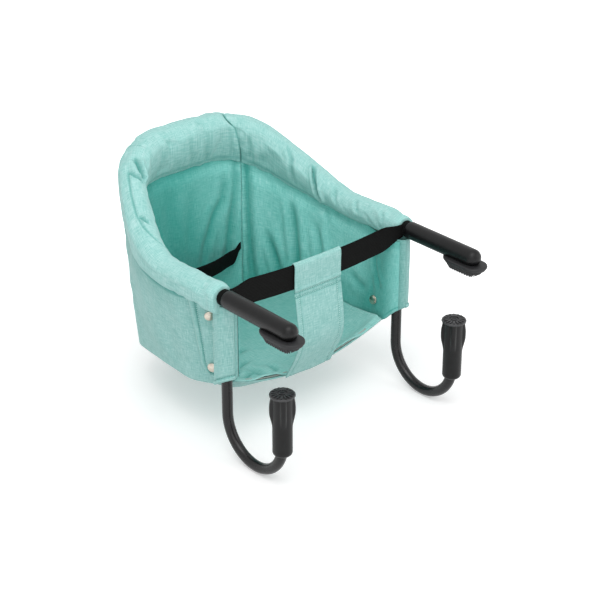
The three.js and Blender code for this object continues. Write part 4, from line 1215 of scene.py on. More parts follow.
        # Painted shade: a dark line along the inner lower edge, where the rim overhangs the lining, and in
        # the corner seam's groove, besides the folds.
        lower = hump(angle, 236, 5) * 0.55
        seam = hump(s - self.seam_at(np.radians(angle)), 0, 2.2) * ease(angle, 60, 100)
        darken(piece, np.maximum(np.maximum(shaded(s, across, folds), lower), 0.85 * seam))
        lift += 0.9 * soft_noise(s / 34, across / 26, 3) + 0.5 * soft_noise(s / 13, across / 30, 4)
        puckers = soft_noise(s / 5.5, angle / 40, 5) * hump(angle, 228, 22)
        lift += 0.45 * puckers
        points, normals = np.empty(count * 3), np.empty(count * 3)
        mesh.vertices.foreach_get("co", points)
        mesh.vertices.foreach_get("normal", normals)
        moved = points.reshape(-1, 3) + normals.reshape(-1, 3) * lift[:, None] * MM
        axis = self.hoop.at(s)[0] * MM
        away = moved - axis
        least = (self.hoop.tube_r + self.cover) * MM
        moved = axis + away * np.maximum(1, least / np.linalg.norm(away, axis=1))[:, None]
        mesh.vertices.foreach_set("co", moved.ravel())
        mesh.update()

    def build(self) -> None:
        """Makes the three lengths and their seams."""
        angle = round_angles(self.around)
        seam = self.seam_at(angle)
        spans = {
            "rim_pad_left": (-self.end, -self.corner - 0.1),
            "rim_pad_back": (-self.corner + 0.1, seam - 0.2),
            "rim_pad_right": (seam + 0.2, self.end),
        }
        for name, (low, high) in spans.items():
            piece = self.pad(name, low, high, angle)
            settle(piece, "frame", self.finishes.rim, [name])


@dataclass
class BucketShape:
    """Where the cloth walls, lining, flaps and seat lie round the hoop.

    Attributes:
        wall_share: Wall's top outside the tube's axis, as a share of the rim's outer side.
        wall_tuck: How far up into the rim the wall goes at the back, as a share of the rim's drop.
        foot_in: Wall's foot inside the tube's axis at the sides, as foot_out is outside it at the back.
        foot_turn: Length over which the foot goes from one to the other.
        fold_gap: Half the slit between panel and flap at the front fold.
        hem_back: How far the seat's front corners stay behind the fold's round.
        hem_rise: How far the lower front corners are drawn up at the fold.
        top_rise: How far the upper front corners stand above the wall's top.
    """

    hoop: Hoop
    rim: PaddedRim
    hook_x: float = 167.0
    hook_y: float = 121.0
    foot_r: float = 10.35
    web_out: float = 178.85
    play: float = 0.8
    panel_t: float = 4.0
    lining_t: float = 2.4
    lining_inset: float = 7.0
    seat_play: float = 1.9
    flap_t: float = 3.0
    fold_ahead: float = 18.0
    fold_round: float = 8.0
    wrap_run: float = 85.0
    wall_share: float = 0.75
    wall_tuck: float = 0.94
    foot_in: float = 10.0
    foot_out: float = 4.0
    foot_turn: float = 132.0
    bulge: float = 6.0
    lining_gap: float = 2.5
    flap_gap: float = 1.6
    fold_gap: float = 0.35
    seat_up: float = 3.0
    seat_drop: float = 168.0
    side_drop: float = 146.0
    side_drop_run: float = 105.0
    seat_drop_ahead: float = 172.0
    seat_drop_run: float = 160.0
    corner_drop: float = 118.0
    hem_sag: float = 45.0
    hem_setback: float = 40.0
    snap_back: float = 32.0
    snap_d: float = 12.0
    hem_back: float = 22.0
    hem_rise: float = 20.0
    top_rise: float = 9.0

    def __post_init__(self) -> None:
        """The right wall's upper and lower edges, from the front fold to the back corner."""
        self.fold_y = self.hook_y - self.fold_ahead
        self.wall_start = self.hook_y + self.wrap_run
        self.wrap_x = self.hook_x - self.foot_r - self.play - self.panel_t / 2
        self.front_z = float(self.wall_top_z(self.rim.start_y)) - 2
        self.lining_in = (self.panel_t + self.lining_t) / 2 + self.lining_gap
        r = self.fold_round
        wrap = [
            (self.hook_x - self.fold_gap, self.fold_y), (self.hook_x - r / 2, self.fold_y),
            (self.wrap_x + r / 4, self.fold_y + r), (self.wrap_x, self.hook_y),
            (self.wrap_x, self.hook_y + self.foot_r),
        ]
        top = [np.array([x, y, self.front_z]) for x, y in wrap]
        foot = [np.array([x, y, self.wall_foot_z(y)]) for x, y in wrap]
        last = self.hoop.depth - self.hoop.corner_r * 0.48
        for y in np.linspace(self.wall_start, last, 6):
            s = self.hoop.place_at(y)
            top.append(self.wall_top(s))
            foot.append(self.wall_foot(s))
        top.append(self.wall_top(self.rim.corner))
        foot.append(self.wall_foot(self.rim.corner))
        self.top_edge, self.foot_edge = np.array(top), np.array(foot)

    def wall_top_z(self, y: Array) -> Array:
        """Height of the wall's top at a depth."""
        tuck = mix(1, self.wall_tuck, ease(y, self.wall_start, self.hoop.depth))
        return self.hoop.height(y) - self.rim.size(self.rim.drop, y) * tuck - 1.05

    def wall_foot_z(self, y: Array) -> Array:
        """Height of the wall's foot at a depth.

        Args:
            y: Depths.

        Returns:
            Heights.
        """
        front = self.fold_y - self.fold_ahead
        back = self.hoop.depth - self.seat_drop_ahead
        sides = mix(self.corner_drop, self.side_drop, ease(y, front, front + self.side_drop_run))
        return -sides - (self.seat_drop - self.side_drop) * ease(y, back, back + self.seat_drop_run)

    def drawn_up(self, y: Array) -> Array:
        """How far the cloth's lower edge is drawn up at a depth."""
        return self.hem_rise * (1 - ease(y, self.fold_y - 6, self.hook_y + 22))

    def stood_up(self, y: Array) -> Array:
        """How far the cloth's upper edge stands above the wall's top at a depth."""
        return self.top_rise * (1 - ease(y, self.rim.start_y - 4, self.rim.start_y + 16))

    def wall_top(self, s: float) -> Array:
        """Top of the wall at a place along the hoop.

        Args:
            s: Place along the hoop.

        Returns:
            The point.
        """
        point, out = self.hoop.at(s)
        place = point + out * self.rim.size(self.rim.out, point[1]) * self.wall_share
        place[2] = self.wall_top_z(point[1])
        return place

    def wall_foot(self, s: float) -> Array:
        """Foot of the wall at a place along the hoop.

        Args:
            s: Place along the hoop.

        Returns:
            The point.
        """
        point, out = self.hoop.at(s)
        depth = self.hoop.depth
        turn = ease(point[1], depth - self.foot_turn, depth - self.foot_turn / 4)
        place = point + out * mix(-self.foot_in, self.foot_out, turn)
        place[2] = self.wall_foot_z(point[1])
        return place

    def wall_column(self, along: float) -> tuple:
        """One upright line of the right wall.

        Args:
            along: Place along the wall, from 0 at its fold to 1 at the back corner.

        Returns:
            Its top, its foot and the way out of the seat.
        """
        top, foot = spline(self.top_edge, along), spline(self.foot_edge, along)
        way = spline(self.top_edge, min(along + 0.005, 1)) - spline(self.top_edge, max(along - 0.005, 0))
        return top, foot, unit(np.array([way[1], -way[0], 0.0]))

    def wall_point(self, along: float, down: float) -> Array:
        """A point of the right wall.

        Args:
            along: Place along it, from 0 at the fold.
            down: Place down it, from 0 at the rim.

        Returns:
            The point.
        """
        top, foot, out = self.wall_column(along)
        belly = self.bulge * float(ease(along, 0.42, 0.6)) * math.sin(math.pi * math.sqrt(max(down, 0)))
        return mix(top, foot, down) + out * belly

    def wall_at(self, y: float, z: float) -> tuple:
        """Finds a point of the right wall.

        Args:
            y: Its depth.
            z: Its height.

        Returns:
            The point, and the way out of the seat there.
        """
        along = halved(0.1, 0.9, 24, lambda place: self.wall_point(place, 0.5)[1] < y)
        top, foot, _ = self.wall_column(along)
        down = (top[2] - z) / (top[2] - foot[2])
        centre = self.wall_point(along, down)
        rear = self.wall_point(along + 0.01, down) - centre
        up = self.wall_point(along, down - 0.02) - centre
        return centre, unit(np.cross(rear, up))

    def lining_column(self, s: float) -> tuple:
        """One upright line of the lining.

        Args:
            s: Place along the hoop.

        Returns:
            Its top, its foot and the way out of the seat.
        """
        point, out = self.hoop.at(s)
        top = point - out * self.lining_inset
        top[2] = self.hoop.height(point[1]) - self.rim.size(self.rim.drop, point[1]) * self.wall_tuck
        return top, self.wall_foot(s) - out * self.lining_in, out

    def edge_at(self, edge: Array, y: float) -> Array:
        """Point of a wall's edge at a depth."""
        return spline(edge, halved(0.0, 1.0, 30, lambda place: spline(edge, place)[1] < y))

    def seat_row(self, u: Array, v: float, lift: float) -> Array:
        """Points across the seat.

        Args:
            u: Places across it, from -1 to 1.
            v: Place along it, from 0 at the hem to 1 at the back.
            lift: How far the points lie above the seat base.

        Returns:
            The points.
        """
        clear = self.panel_t / 2 + self.lining_gap + self.lining_t + self.seat_play
        front = self.fold_y + self.fold_round + self.hem_back
        hem_y = mix(front, self.fold_y + self.hem_setback, 1 - u * u)
        corner_y = self.foot_edge[-1][1] - clear - 2
        back_y = mix(corner_y, self.hoop.depth - clear, ease(1 - np.abs(u), 0, 0.45))
        edge = self.edge_at(self.foot_edge, mix(front, corner_y, v))
        hem_z = -self.corner_drop - self.hem_sag
        middle_z = mix(hem_z, -self.seat_drop + self.seat_up, float(ease(v, 0, 0.1)))
        side_z = max(edge[2] + self.seat_up, middle_z)
        rise = np.abs(u) ** mix(2, 8, float(ease(v, 0, 0.14)))
        z = mix(middle_z, side_z, rise) + lift
        return np.stack([u * (edge[0] - clear), mix(hem_y, back_y, v), z], axis=-1)

    def flap_plan(self, z: float, rear_y: float) -> Array:
        """Plan of the right flap at a height.

        Args:
            z: The height.
            rear_y: Depth of its rear edge.

        Returns:
            Points from its front fold.
        """
        out_x = self.web_out + 2 * self.play + self.flap_t / 2
        lap = rear_y - self.hook_y - self.snap_back + self.snap_d / 2
        lift = self.panel_t / 2 + self.flap_gap + self.flap_t / 2
        r = self.fold_round
        plan = [
            (self.hook_x + self.fold_gap, self.fold_y, z), (self.hook_x + r / 2, self.fold_y, z),
            (out_x - r / 4, self.fold_y + r, z), (out_x, self.hook_y, z),
            (out_x - r / 4, self.hook_y + self.foot_r + self.play, z),
        ]
        for y in (rear_y - lap, rear_y - lap / 2, rear_y):
            centre, out = self.wall_at(y, z)
            plan.append(tuple(centre + out * lift))
        return np.array(plan)


def mirrored(grid: Array, side: Side) -> Array:
    """A right-hand grid, or its mirror image for the left."""
    return grid * np.array([side.value, 1, 1])


@dataclass
class ClothWalls:
    """Outer panels, linings and seat of the bucket.

    Attributes:
        panel_share: Thickness of a panel's cloth, as a share of its solid's.
        lining_near: Lining inside the panel ahead of the rim.
        proud: Panel's top outside the wall's.
        slack: Bulge of the cloth, as a share of the solid walls'.
        stand: Lining's cloth inside its solid's middle.
    """

    shape: BucketShape
    finishes: Finishes
    columns: int = 120
    back_columns: int = 76
    lining_columns: int = 80
    lead: int = 22
    joint: int = 14
    rows: int = 46
    hidden_rows: int = 8
    tuck: float = 14.0
    panel_share: float = 0.6
    lining_share: float = 0.7
    lining_back: float = 5.5
    lining_near: float = 2.6
    proud: float = -1.0
    slack: float = 0.25
    stand: float = 0.6
    hem: float = 8.0

    def wall_rows(self, top: Array, foot: Array, out: Array, free: float) -> Array:
        """Points down one column of wall.

        Args:
            top: The wall's top, under the rim.
            foot: Its foot.
            out: The way out of the seat.
            free: 0 where the wall hangs under the rim, 1 where it comes out from inside it.

        Returns:
            The points, from those hidden in the rim to the foot.
        """
        above = np.linspace(2 + (self.tuck - 2) * free, 0, self.hidden_rows, endpoint=False)[:, None]
        down = np.linspace(0, 1, self.rows)[:, None]
        belly = self.slack * self.shape.bulge * free * np.sin(math.pi * np.sqrt(down))
        start = top + out * self.proud * free
        hidden = start + np.array([0, 0, 1.0]) * above - out * above * 0.24 * free
        return np.concatenate([hidden, mix(start, foot, down) + out * belly])

    def side_panel(self, side: Side) -> None:
        """The outer cloth of one side, from the front fold to the back corner.

        Args:
            side: The side of the chair.
        """
        shape = self.shape
        grid = []
        for along in np.linspace(0, 0.9995, self.columns):
            top, foot, out = shape.wall_column(along)
            top[2] += shape.stood_up(top[1])
            foot[2] += shape.drawn_up(foot[1])
            grid.append(self.wall_rows(top, foot, out, float(ease(along, 0.42, 0.62))))
        grid = np.stack(grid)
        uv = surface_uv(grid)
        u, v = uv[..., 0], uv[..., 1]
        live = ease(u, 90, 150) * within(v, (4, 40), (0, 30))
        rough = 1.8 * soft_noise(u / 48, v / 60, 11) + 1.1 * soft_noise(u / 22 + v / 60, v / 34, 12)
        seed = 0 if side is Side.LEFT else 7
        rough += 0.7 * soft_noise(u / 60 + seed, v / 14, 13)
        grid = grid + grid_normals(grid) * (live * rough)[..., None]
        grid = mirrored(grid, side)
        # Painted shade: a dark band just under the rim that fades out before the back corner, a wider soft
        # one below it, and shade on the inner face of the wrap round the hook.
        edge = v[0, self.hidden_rows] + mix(1.0, 7.0, ease(u, 150, 330))
        under = 0.95 * (1 - ease(v, edge + 1, edge + 6)) * ease(u, 70, 110) * (1 - ease(u, 200, 280))
        inner = 0.7 * (1 - ease(u, 34, 58)) * mix(0.45, 1, ease(u, 0, 16))
        under = np.maximum(under, 0.3 * (1 - ease(v, edge + 4, edge + 45)) * ease(u, 90, 150))
        shade = np.maximum(under, inner)
        piece = thick_sheet(f"{side.word}_side_cloth", grid, shape.panel_t * self.panel_share, uv, shade)
        settle(piece, "frame", self.finishes.mint, [f"{side.word}_side_panel"])

    def back_panel(self) -> None:
        """The outer cloth of the back."""
        shape = self.shape
        corner = shape.rim.corner
        grid = np.stack([self.wall_rows(shape.wall_top(s), shape.wall_foot(s), shape.hoop.at(s)[1], 1.0)
                         for s in np.linspace(corner - 0.15, -corner + 0.15, self.back_columns)])
        uv = surface_uv(grid)
        u, v = uv[..., 0], uv[..., 1]
        live = within(u, (0, 25), (0, 25)) * within(v, (4, 40), (0, 30))
        rough = 1.8 * soft_noise(u / 52, v / 70, 21) + 0.9 * soft_noise(u / 20, v / 50, 22)
        grid = grid + grid_normals(grid) * (live * rough)[..., None]
        piece = thick_sheet("back_cloth", grid, shape.panel_t * self.panel_share, uv)
        settle(piece, "frame", self.finishes.mint, ["back_panel"])

    def lining_grid(self, columns: Sequence, rows: int, behind: Array = 1.0) -> tuple:
        """Grid and weave places of a lining through columns of top, foot and way out.

        Args:
            columns: Top, foot and way out of each column.
            rows: Points down each column.
            behind: How far each column's top goes behind the rim, from 0 to 1.

        Returns:
            The grid and its weave places.
        """
        down = np.linspace(0, 1, rows)
        grid = np.stack([mix(top, foot, down[:, None]) for top, foot, _ in columns])
        uv = surface_uv(grid)
        out = np.stack([way for _, _, way in columns])[:, None]
        back = self.lining_back * np.reshape(behind, (-1, 1)) * (1 - ease(uv[..., 1], 9, 30))
        return grid + out * back[..., None], uv

    def side_lining(self, side: Side) -> None:
        """The inner cloth of one side, with its soft hanging folds.

        Args:
            side: The side of the chair.
        """
        shape = self.shape
        inward = np.array([-self.lining_near, 0, 0])
        start = shape.hoop.place_at(shape.wall_start)
        marks = np.linspace(start, shape.rim.corner + 0.3, self.lining_columns)
        columns = [shape.lining_column(s) for s in marks]
        lead = []
        joint_y = shape.hook_y + shape.snap_back + shape.snap_d
        for y in np.linspace(shape.fold_y + 3.5, joint_y, self.lead):
            top, foot = (shape.edge_at(edge, y) + inward for edge in (shape.top_edge, shape.foot_edge))
            top[2] += shape.stood_up(y)
            foot[2] += shape.drawn_up(y)
            lead.append((top, foot, columns[0][2]))
        joint = lead[-1]
        shares = np.linspace(0, 1, self.joint, endpoint=False)[1:]
        lead += [tuple(mix(a, b, t) for a, b in zip(joint, columns[0])) for t in shares]
        behind = np.concatenate([np.zeros(self.lead), shares, np.ones(len(columns))])
        grid, uv = self.lining_grid(lead + columns, self.rows, behind)
        u, v = uv[..., 0], uv[..., 1]
        end = u.max()
        back = end - u
        folds = [
            Crease(((9, -10), (10, 60), (14, 130), (26, 215)), 6.0, 6.0, 0.7, 0.12, 0.95),
            Crease(((38, 78), (53, 110), (64, 138), (70, 190)), 5.0, 6.0, 0.7, 0.25, 0.75),
            Crease(((85, 16), (92, 62), (97, 104), (99, 170)), 6.0, 6.5, 0.7, 0.22, 0.85),
            Crease(((128, 34), (136, 60), (141, 84), (146, 140)), 4.0, 6.0, 0.7, 0.3, 0.5),
            Crease(((145, 6), (151, 20), (157, 36)), 2.5, 3.5, 0.6, 0.3, 0.4),
            Crease(((end - 74, 38), (end - 56, 78), (end - 42, 106)), 3.4, 5.5, 0.6, 0.25, 0.8),
            Crease(((end - 130, 96), (end - 104, 112), (end - 76, 118)), 2.4, 8.0, 0.5, 0.35, 0.5),
        ]
        live = within(v, (2, 28), (0, 25)) * within(u, (0, 25), (0, 5))
        rough = creased(back, v, folds)
        rough += 1.4 * soft_noise(u / 26, v / 70, 31) + 0.7 * soft_noise(u / 11, v / 40, 32)
        # Painted shade: darker towards the foot, near the front corner, along a line at the hem's stitching
        # and just under the rim, besides the folds.
        low = 0.85 * ease(v, 70, 180) * ease(u, 30, 70)
        corner = 0.62 * ease(u, 4, 40) * (1 - ease(u, 60, 110)) + 0.3 * (1 - ease(u, 50, 90))
        hem = 0.8 * hump(v[:, -1:] - v, self.hem, GROOVE) * (1 - ease(u, 50, 80))
        under = 0.35 * (1 - ease(v, 12, 20))
        shade = np.clip(shaded(back, v, folds) + low + corner + hem + under, 0, 1)
        grid = grid + normals_to(grid, (-1, 0, 0)) * (live * rough + self.stand)[..., None]
        grid = mirrored(grid, side)
        piece = thick_sheet(f"{side.word}_inner_cloth", grid, shape.lining_t * self.lining_share, uv, shade)
        settle(piece, "frame", self.finishes.lining, [f"{side.word}_side_lining"])

    def back_lining(self) -> None:
        """The inner cloth of the back."""
        shape = self.shape
        corner = shape.rim.corner
        marks = np.linspace(-corner + 0.3, corner - 0.3, self.back_columns)
        grid, uv = self.lining_grid([shape.lining_column(s) for s in marks], self.rows)
        u, v = uv[..., 0], uv[..., 1]
        folds = [
            Crease(((169, 22), (163, 74), (146, 101), (128, 150), (120, 200)), 3.4, 6.5, 0.6, 0.22, 0.5),
            Crease(((188, -10), (184, 60), (176, 120), (168, 200)), 4.5, 6.0, 0.7, 0.2, 0.6),
            Crease(((60, 20), (58, 70), (60, 120), (66, 190)), 2.4, 9.0, 0.5, 0.3, 0.35),
            Crease(((108, 40), (100, 90), (96, 150)), 1.8, 9.0, 0.5, 0.35, 0.15),
        ]
        live = within(v, (2, 28), (0, 25)) * within(u, (0, 8), (0, 5))
        rough = creased(u, v, folds)
        rough += 1.1 * soft_noise(u / 30, v / 80, 41) + 0.5 * soft_noise(u / 12, v / 44, 42)
        # Painted shade: darker to the left, where the left wall shades the back, and towards the foot; a band
        # just under the rim; and the folds.
        painted_shade_gradient = 0.95 * (1 - ease(u, 40, 230)) + 0.35 * ease(v, 50, 170)
        shade = np.clip(shaded(u, v, folds) + painted_shade_gradient + 0.35 * (1 - ease(v, 12, 20)), 0, 1)
        grid = grid + normals_to(grid, (0, -1, 0)) * (live * rough + self.stand)[..., None]
        piece = thick_sheet("back_inner_cloth", grid, shape.lining_t * self.lining_share, uv, shade)
        settle(piece, "frame", self.finishes.lining, ["back_lining"])

    def slit(self, places: Array) -> Array:
        """How far the front hem gapes at places across it, from 0 to 1."""
        far = np.abs(places)
        return ease(far, 0.27, 0.42) * (1 - ease(far, 0.55, 0.78))

    def board_edge(self) -> None:
        """The edges of the seat board that show in the hem's two slits."""
        shape = self.shape
        for side in Side:
            places = side.value * np.linspace(0.24, 0.82, 40)
            rows = [shape.seat_row(places, v, 3.6) for v in np.linspace(0.006, 0.06, 6)]
            piece = thick_sheet(f"{side.word}_board_edge", np.stack(rows, axis=1), 2.2)
            settle(piece, "frame", self.finishes.board)

    def seat_cloth(
        self, name: str, node: str, thickness: float, lift: float, finish: Finish, seed: int
    ) -> None:
        """One layer of the seat, with a soft unevenness.

        Args:
            name: The piece's name.
            node: The node that it replaces.
            thickness: Thickness of its cloth.
            lift: Its height above the seat base.
            finish: Its finish.
            seed: Fixed seed of its unevenness.
        """
        shape = self.shape
        across, along = 101, 80
        places = np.linspace(-1, 1, across)
        rows = np.linspace(0, 1, along) ** 1.5
        grid = np.stack([shape.seat_row(places, v, lift) for v in rows], axis=1)
        uv = surface_uv(grid)
        u, v = uv[..., 0], uv[..., 1]
        live = within(v, (0, 30), (0, 30)) * within(u, (0, 30), (0, 30))
        grid[..., 2] += live * soft_noise(u / 40, v / 40, seed)
        shade = None
        if node == "seat_lining":
            near = 1 - ease(v, 0, 12)
            grid[..., 2] -= near * mix(4.6, -1.4, self.slit(places))[:, None]
            grid[..., 1] -= (1 - ease(v, 0, 5)) * 1.6
            end = u.max()
            folds = [
                Crease(((78, 12), (84, 34), (80, 60)), 3.0, 5.0, 0.6, 0.35, 0.6),
                Crease(((104, 8), (112, 26), (112, 48)), 2.8, 4.4, 0.6, 0.35, 0.7),
                Crease(((36, 18), (60, 33), (94, 38)), 3.2, 4.0, 0.6, 0.3, 0.75),
                Crease(((44, 46), (70, 62), (106, 72)), 3.0, 4.6, 0.6, 0.3, 0.65),
                Crease(((56, 84), (90, 98), (126, 100)), 2.6, 5.4, 0.6, 0.3, 0.55),
                Crease(((end - 96, 8), (end - 104, 30), (end - 100, 56)), 2.6, 5.4, 0.6, 0.35, 0.5),
            ]
            grid[..., 2] += creased(u, v, folds) * ease(v, 0, 14)
            # Painted shade: darker towards the back of the seat, besides the folds.
            shade = np.clip(shaded(u, v, folds) + 0.5 * ease(v, 40, 150), 0, 1)
        piece = thick_sheet(name, grid, thickness, uv, shade)
        settle(piece, "frame", finish, [node])

    def build(self) -> None:
        """Makes the panels, linings and seat."""
        for side in Side:
            self.side_panel(side)
            self.side_lining(side)
        self.back_panel()
        self.back_lining()
        self.seat_cloth("seat_under_cloth", "seat_base", 2.6, 0.0, self.finishes.mint, 51)
        self.seat_cloth("seat_top_cloth", "seat_lining", 2.0, 7.1, self.finishes.seat, 52)
        self.board_edge()


@dataclass
class CornerFlap:
    """The cloth that laps round a hook from outside and snaps to the side.

    Attributes:
        hang: How far its rear hangs below its solid.
    """

    shape: BucketShape
    finishes: Finishes
    stitches: StitchRows
    side: Side
    top_l: float = 80.0
    low_l: float = 70.0
    hem: float = 7.0
    corner_r: float = 22.0
    hang: float = 6.0
    columns: int = 110
    rows: int = 90

    def build(self) -> None:
        """Makes the flap with its rolled hem and stitches."""
        shape = self.shape
        top_z, low_z = shape.front_z + 1.6, -shape.corner_drop + 2
        grid = np.empty((self.columns, self.rows, 3))
        for j, down in enumerate(np.linspace(0, 1, self.rows)):
            z = mix(top_z, low_z, down)
            rear = shape.fold_y + mix(self.top_l, self.low_l, down)
            into = max(self.corner_r - (z - low_z), 0)
            rear -= self.corner_r - math.sqrt(max(self.corner_r**2 - into**2, 0))
            plan = shape.flap_plan(z, rear)
            grid[:, j] = [spline(plan, along) for along in np.linspace(0, 1, self.columns)]
            deep = grid[:, j, 1]
            hang = self.hang * mix(0.7, 1, ease(deep, shape.hook_y, shape.hook_y + 28))
            grid[:, j, 2] += mix(shape.stood_up(deep), shape.drawn_up(deep) - hang, down)
        uv = surface_uv(grid)
        u, v = uv[..., 0], uv[..., 1]
        end = u.max()
        edge = np.minimum(end - u, v.max() - v)
        seam = hump(edge, self.hem, GROOVE)
        lift = -1.5 * seam + 0.9 * hump(edge, self.hem * 0.4, 2.6)
        puckers = [
            Crease(((end - 30, 36), (end - 44, 38), (end - 60, 28)), 2.6, 2.4, 0.7, 0.3, 0.8),
            Crease(((end - 26, 98), (end - 40, 101), (end - 54, 96)), 1.4, 2.2, 0.6, 0.35, 0.4),
        ]
        # Painted shade along the groove of the stitched hem and in the puckers by the snaps.
        shade = np.maximum(shaded(u, v, puckers), seam)
        lift += creased(u, v, puckers) + 0.7 * soft_noise(u / 26, v / 30, 61) * ease(edge, 4, 20)
        normals = normals_to(grid, (1, 0, 0))
        line = grid + normals * (lift + shape.flap_t * 0.32)[..., None]
        grid = mirrored(grid + normals * lift[..., None], self.side)
        word = self.side.word
        bound = shape.flap_t * mix(0.6, 1.15, 1 - ease(edge, self.hem * 0.6, self.hem))
        piece = thick_sheet(f"{word}_flap_cloth", grid, bound, uv, shade)
        settle(piece, f"{word}_flap", self.finishes.mint, [f"{word}_corner_flap"])
        line = mirrored(line, self.side)
        i = int(np.argmin(np.abs(u[:, 0] - (end - self.hem))))
        j = int(np.argmin(np.abs(v[0] - (v.max() - self.hem))))
        row = np.concatenate([line[i, : j + 1], line[i - 1 :: -1, j]])
        self.stitches.sew(f"{word}_flap_stitches", [row], f"{word}_flap")


@dataclass
class Belts:
    """Front belt, the tab that loops over it, and the waist belt.

    Attributes:
        tab_share: Thickness of the tab's cloth, as a share of its solid's.
        tab_hem: Stitches from the tab's sides, as hem_gap is from seam to seam at the loop.
        waist_more: How much further it reaches to the right.
    """

    shape: BucketShape
    finishes: Finishes
    stitches: StitchRows
    belt_w: float = 38.0
    belt_t: float = 2.0
    belt_y: float = 111.0
    loop_gap: float = 0.35
    loop_half: float = 4.6
    dip: float = 14.0
    bow: float = 8.0
    tab_w: float = 88.0
    tab_t: float = 2.4
    tab_share: float = 0.7
    belly: float = 20.0
    curl: float = 12.0
    loop_seam: float = 6.0
    tab_hem: float = 8.0
    hem_gap: float = 7.0
    waist_w: float = 25.0
    waist_span: float = 172.0
    waist_z: float = -95.0
    waist_more: float = 11.0
    waist_bow: float = 30.0

    def middle(self, x: Array) -> Array:
        """Middle line of the front belt at places across the chair.

        Args:
            x: Places across the chair.

        Returns:
            The line's points.
        """
        hoop = self.shape.hoop
        slack = 1 - (np.asarray(x, float) / (hoop.arm_x - hoop.tube_r)) ** 2
        y, z = self.belt_y + self.bow * slack, hoop.arm_z - self.dip * slack
        return np.stack([x + 0 * slack, y, z], axis=-1)

    def front_belt(self) -> None:
        """The belt from arm to arm, with a loop round each arm's tube."""
        hoop = self.shape.hoop
        reach = hoop.arm_x - hoop.tube_r - self.belt_t + 0.7
        marks = np.linspace(-reach, reach, 121)
        line = self.middle(marks)
        width = mix(self.belt_w, 2 * (hoop.tube_r + self.belt_t), ease(np.abs(marks), reach * 0.75, reach))
        spread = np.linspace(-0.5, 0.5, 9)
        grid = line[:, None] + spread[None, :, None] * width[:, None, None] * np.array([0, 0, 1.0])
        grid[..., 1] += 1.2 * soft_noise(marks / 60, 0.5, 71)[:, None]
        piece = thick_sheet("front_belt_band", grid, self.belt_t)
        settle(piece, "frame", self.finishes.webbing, ["front_belt"])
        inner = hoop.tube_r + self.loop_gap
        outer, half = inner + 1.8 * self.belt_t, self.loop_half
        profile = [(inner, -half), (outer - 0.6, -half), (outer, -half + 0.8), (outer, half - 0.8),
                   (outer - 0.6, half), (inner, half)]
        for side in Side:
            x = side.value * hoop.arm_x
            rings = np.array([[[x + r * math.cos(t), self.belt_y + h, hoop.arm_z + r * math.sin(t)]
                               for r, h in profile] for t in round_angles(48)])
            rings = np.concatenate([rings, rings[:1]])
            loop = ring_loft(f"{side.word}_belt_loop", rings, None, (False, False))
            face_out(loop.data, 1e-6)
            settle(loop, "frame", self.finishes.webbing)

    def tab_line(self) -> Array:
        """Middle line of the tab, from the hem up over the belt and down behind it.

        Returns:
            The line's points.
        """
        belt = self.middle(0.0)
        half = (self.belt_t + self.tab_t) / 2 + 1.05
        top = belt[2] + self.belt_w / 2 + self.tab_t / 2 + 0.7
        self.low = belt[2] - self.belt_w / 2 - self.loop_seam
        hem = self.shape.seat_row(np.zeros(1), 0, 0)[0]
        self.foot = np.array([0, hem[1] - (3 + self.tab_t) / 2 - 1.05, hem[2]])
        return np.array([
            self.foot,
            [0, mix(self.foot[1], belt[1] - half, 0.45) - self.belly, mix(self.foot[2], self.low, 0.45)],
            [0, belt[1] - half, self.low], [0, belt[1] - half, belt[2]],
            [0, belt[1] - half * 0.9, top - self.tab_t], [0, belt[1], top],
            [0, belt[1] + half * 0.9, top - self.tab_t], [0, belt[1] + half, belt[2]],
            [0, belt[1] + half, self.low + self.tab_t],
        ])

    def crotch_tab(self) -> None:
        """The cloth tab that stands from the hem and loops over the belt."""
        line = self.tab_line()
        steps, across = 220, 61
        grid = np.empty((steps + 1, across, 3))
        w = np.linspace(-0.5, 0.5, across)
        belt = self.middle(0.0)
        for i, share in enumerate(np.linspace(0, 1, steps + 1)):
            place = spline(line, share)
            curl = self.curl * w**2 * float(ease(self.low - place[2], 0, self.low - self.foot[2]))
            taken = float(ease(place[2], mix(self.foot[2], self.low, 0.6), self.low))
            sway = (self.middle(w * self.tab_w) - belt) * taken
            y, z = place[1] + sway[:, 1] - curl, place[2] + sway[:, 2] + curl
            grid[i] = np.stack([w * self.tab_w, y, z], axis=1)
        uv = surface_uv(grid)
        u, v = uv[..., 0], uv[..., 1]
        side = np.minimum(v, v.max() - v)
        seam_u = u[:, 0][np.argmin(np.abs(grid[: steps // 2, across // 2, 2] - self.low))]
        rows_at = (seam_u, seam_u - self.hem_gap)
        seams = sum(hump(u, at, GROOVE) for at in rows_at)
        edges = hump(side, self.tab_hem, GROOVE) * ease(seam_u - u, 0, 4)
        lift = -edges - 1.3 * seams + 0.9 * hump(u, seam_u + 4, 2.2)
        lift += 0.9 * soft_noise(u / 30, v / 26, 81) * ease(seam_u - u, 0, 20)
        normals = grid_normals(grid)
        normals *= np.sign(-normals[10, across // 2, 1])
        grid = grid + normals * lift[..., None]
        # Painted shade along the grooves of the loop's seams and of the stitched side hems.
        shade = np.clip(seams + 0.6 * edges, 0, 1)
        piece = thick_sheet("crotch_tab_cloth", grid, self.tab_t * self.tab_share, uv, shade)
        settle(piece, "frame", self.finishes.mint, ["crotch_tab"])
        raised = grid + normals * self.tab_t * 0.38
        rows = [int(np.argmin(np.abs(u[:, 0] - at))) for at in rows_at]
        lines = [raised[row, 2:-2] for row in rows]
        edge = [int(np.argmin(np.abs(v[0] - at))) for at in (self.tab_hem, v.max() - self.tab_hem)]
        lines += [raised[3 : rows[1], column] for column in edge]
        self.stitches.sew("crotch_tab_stitches", lines, "frame")

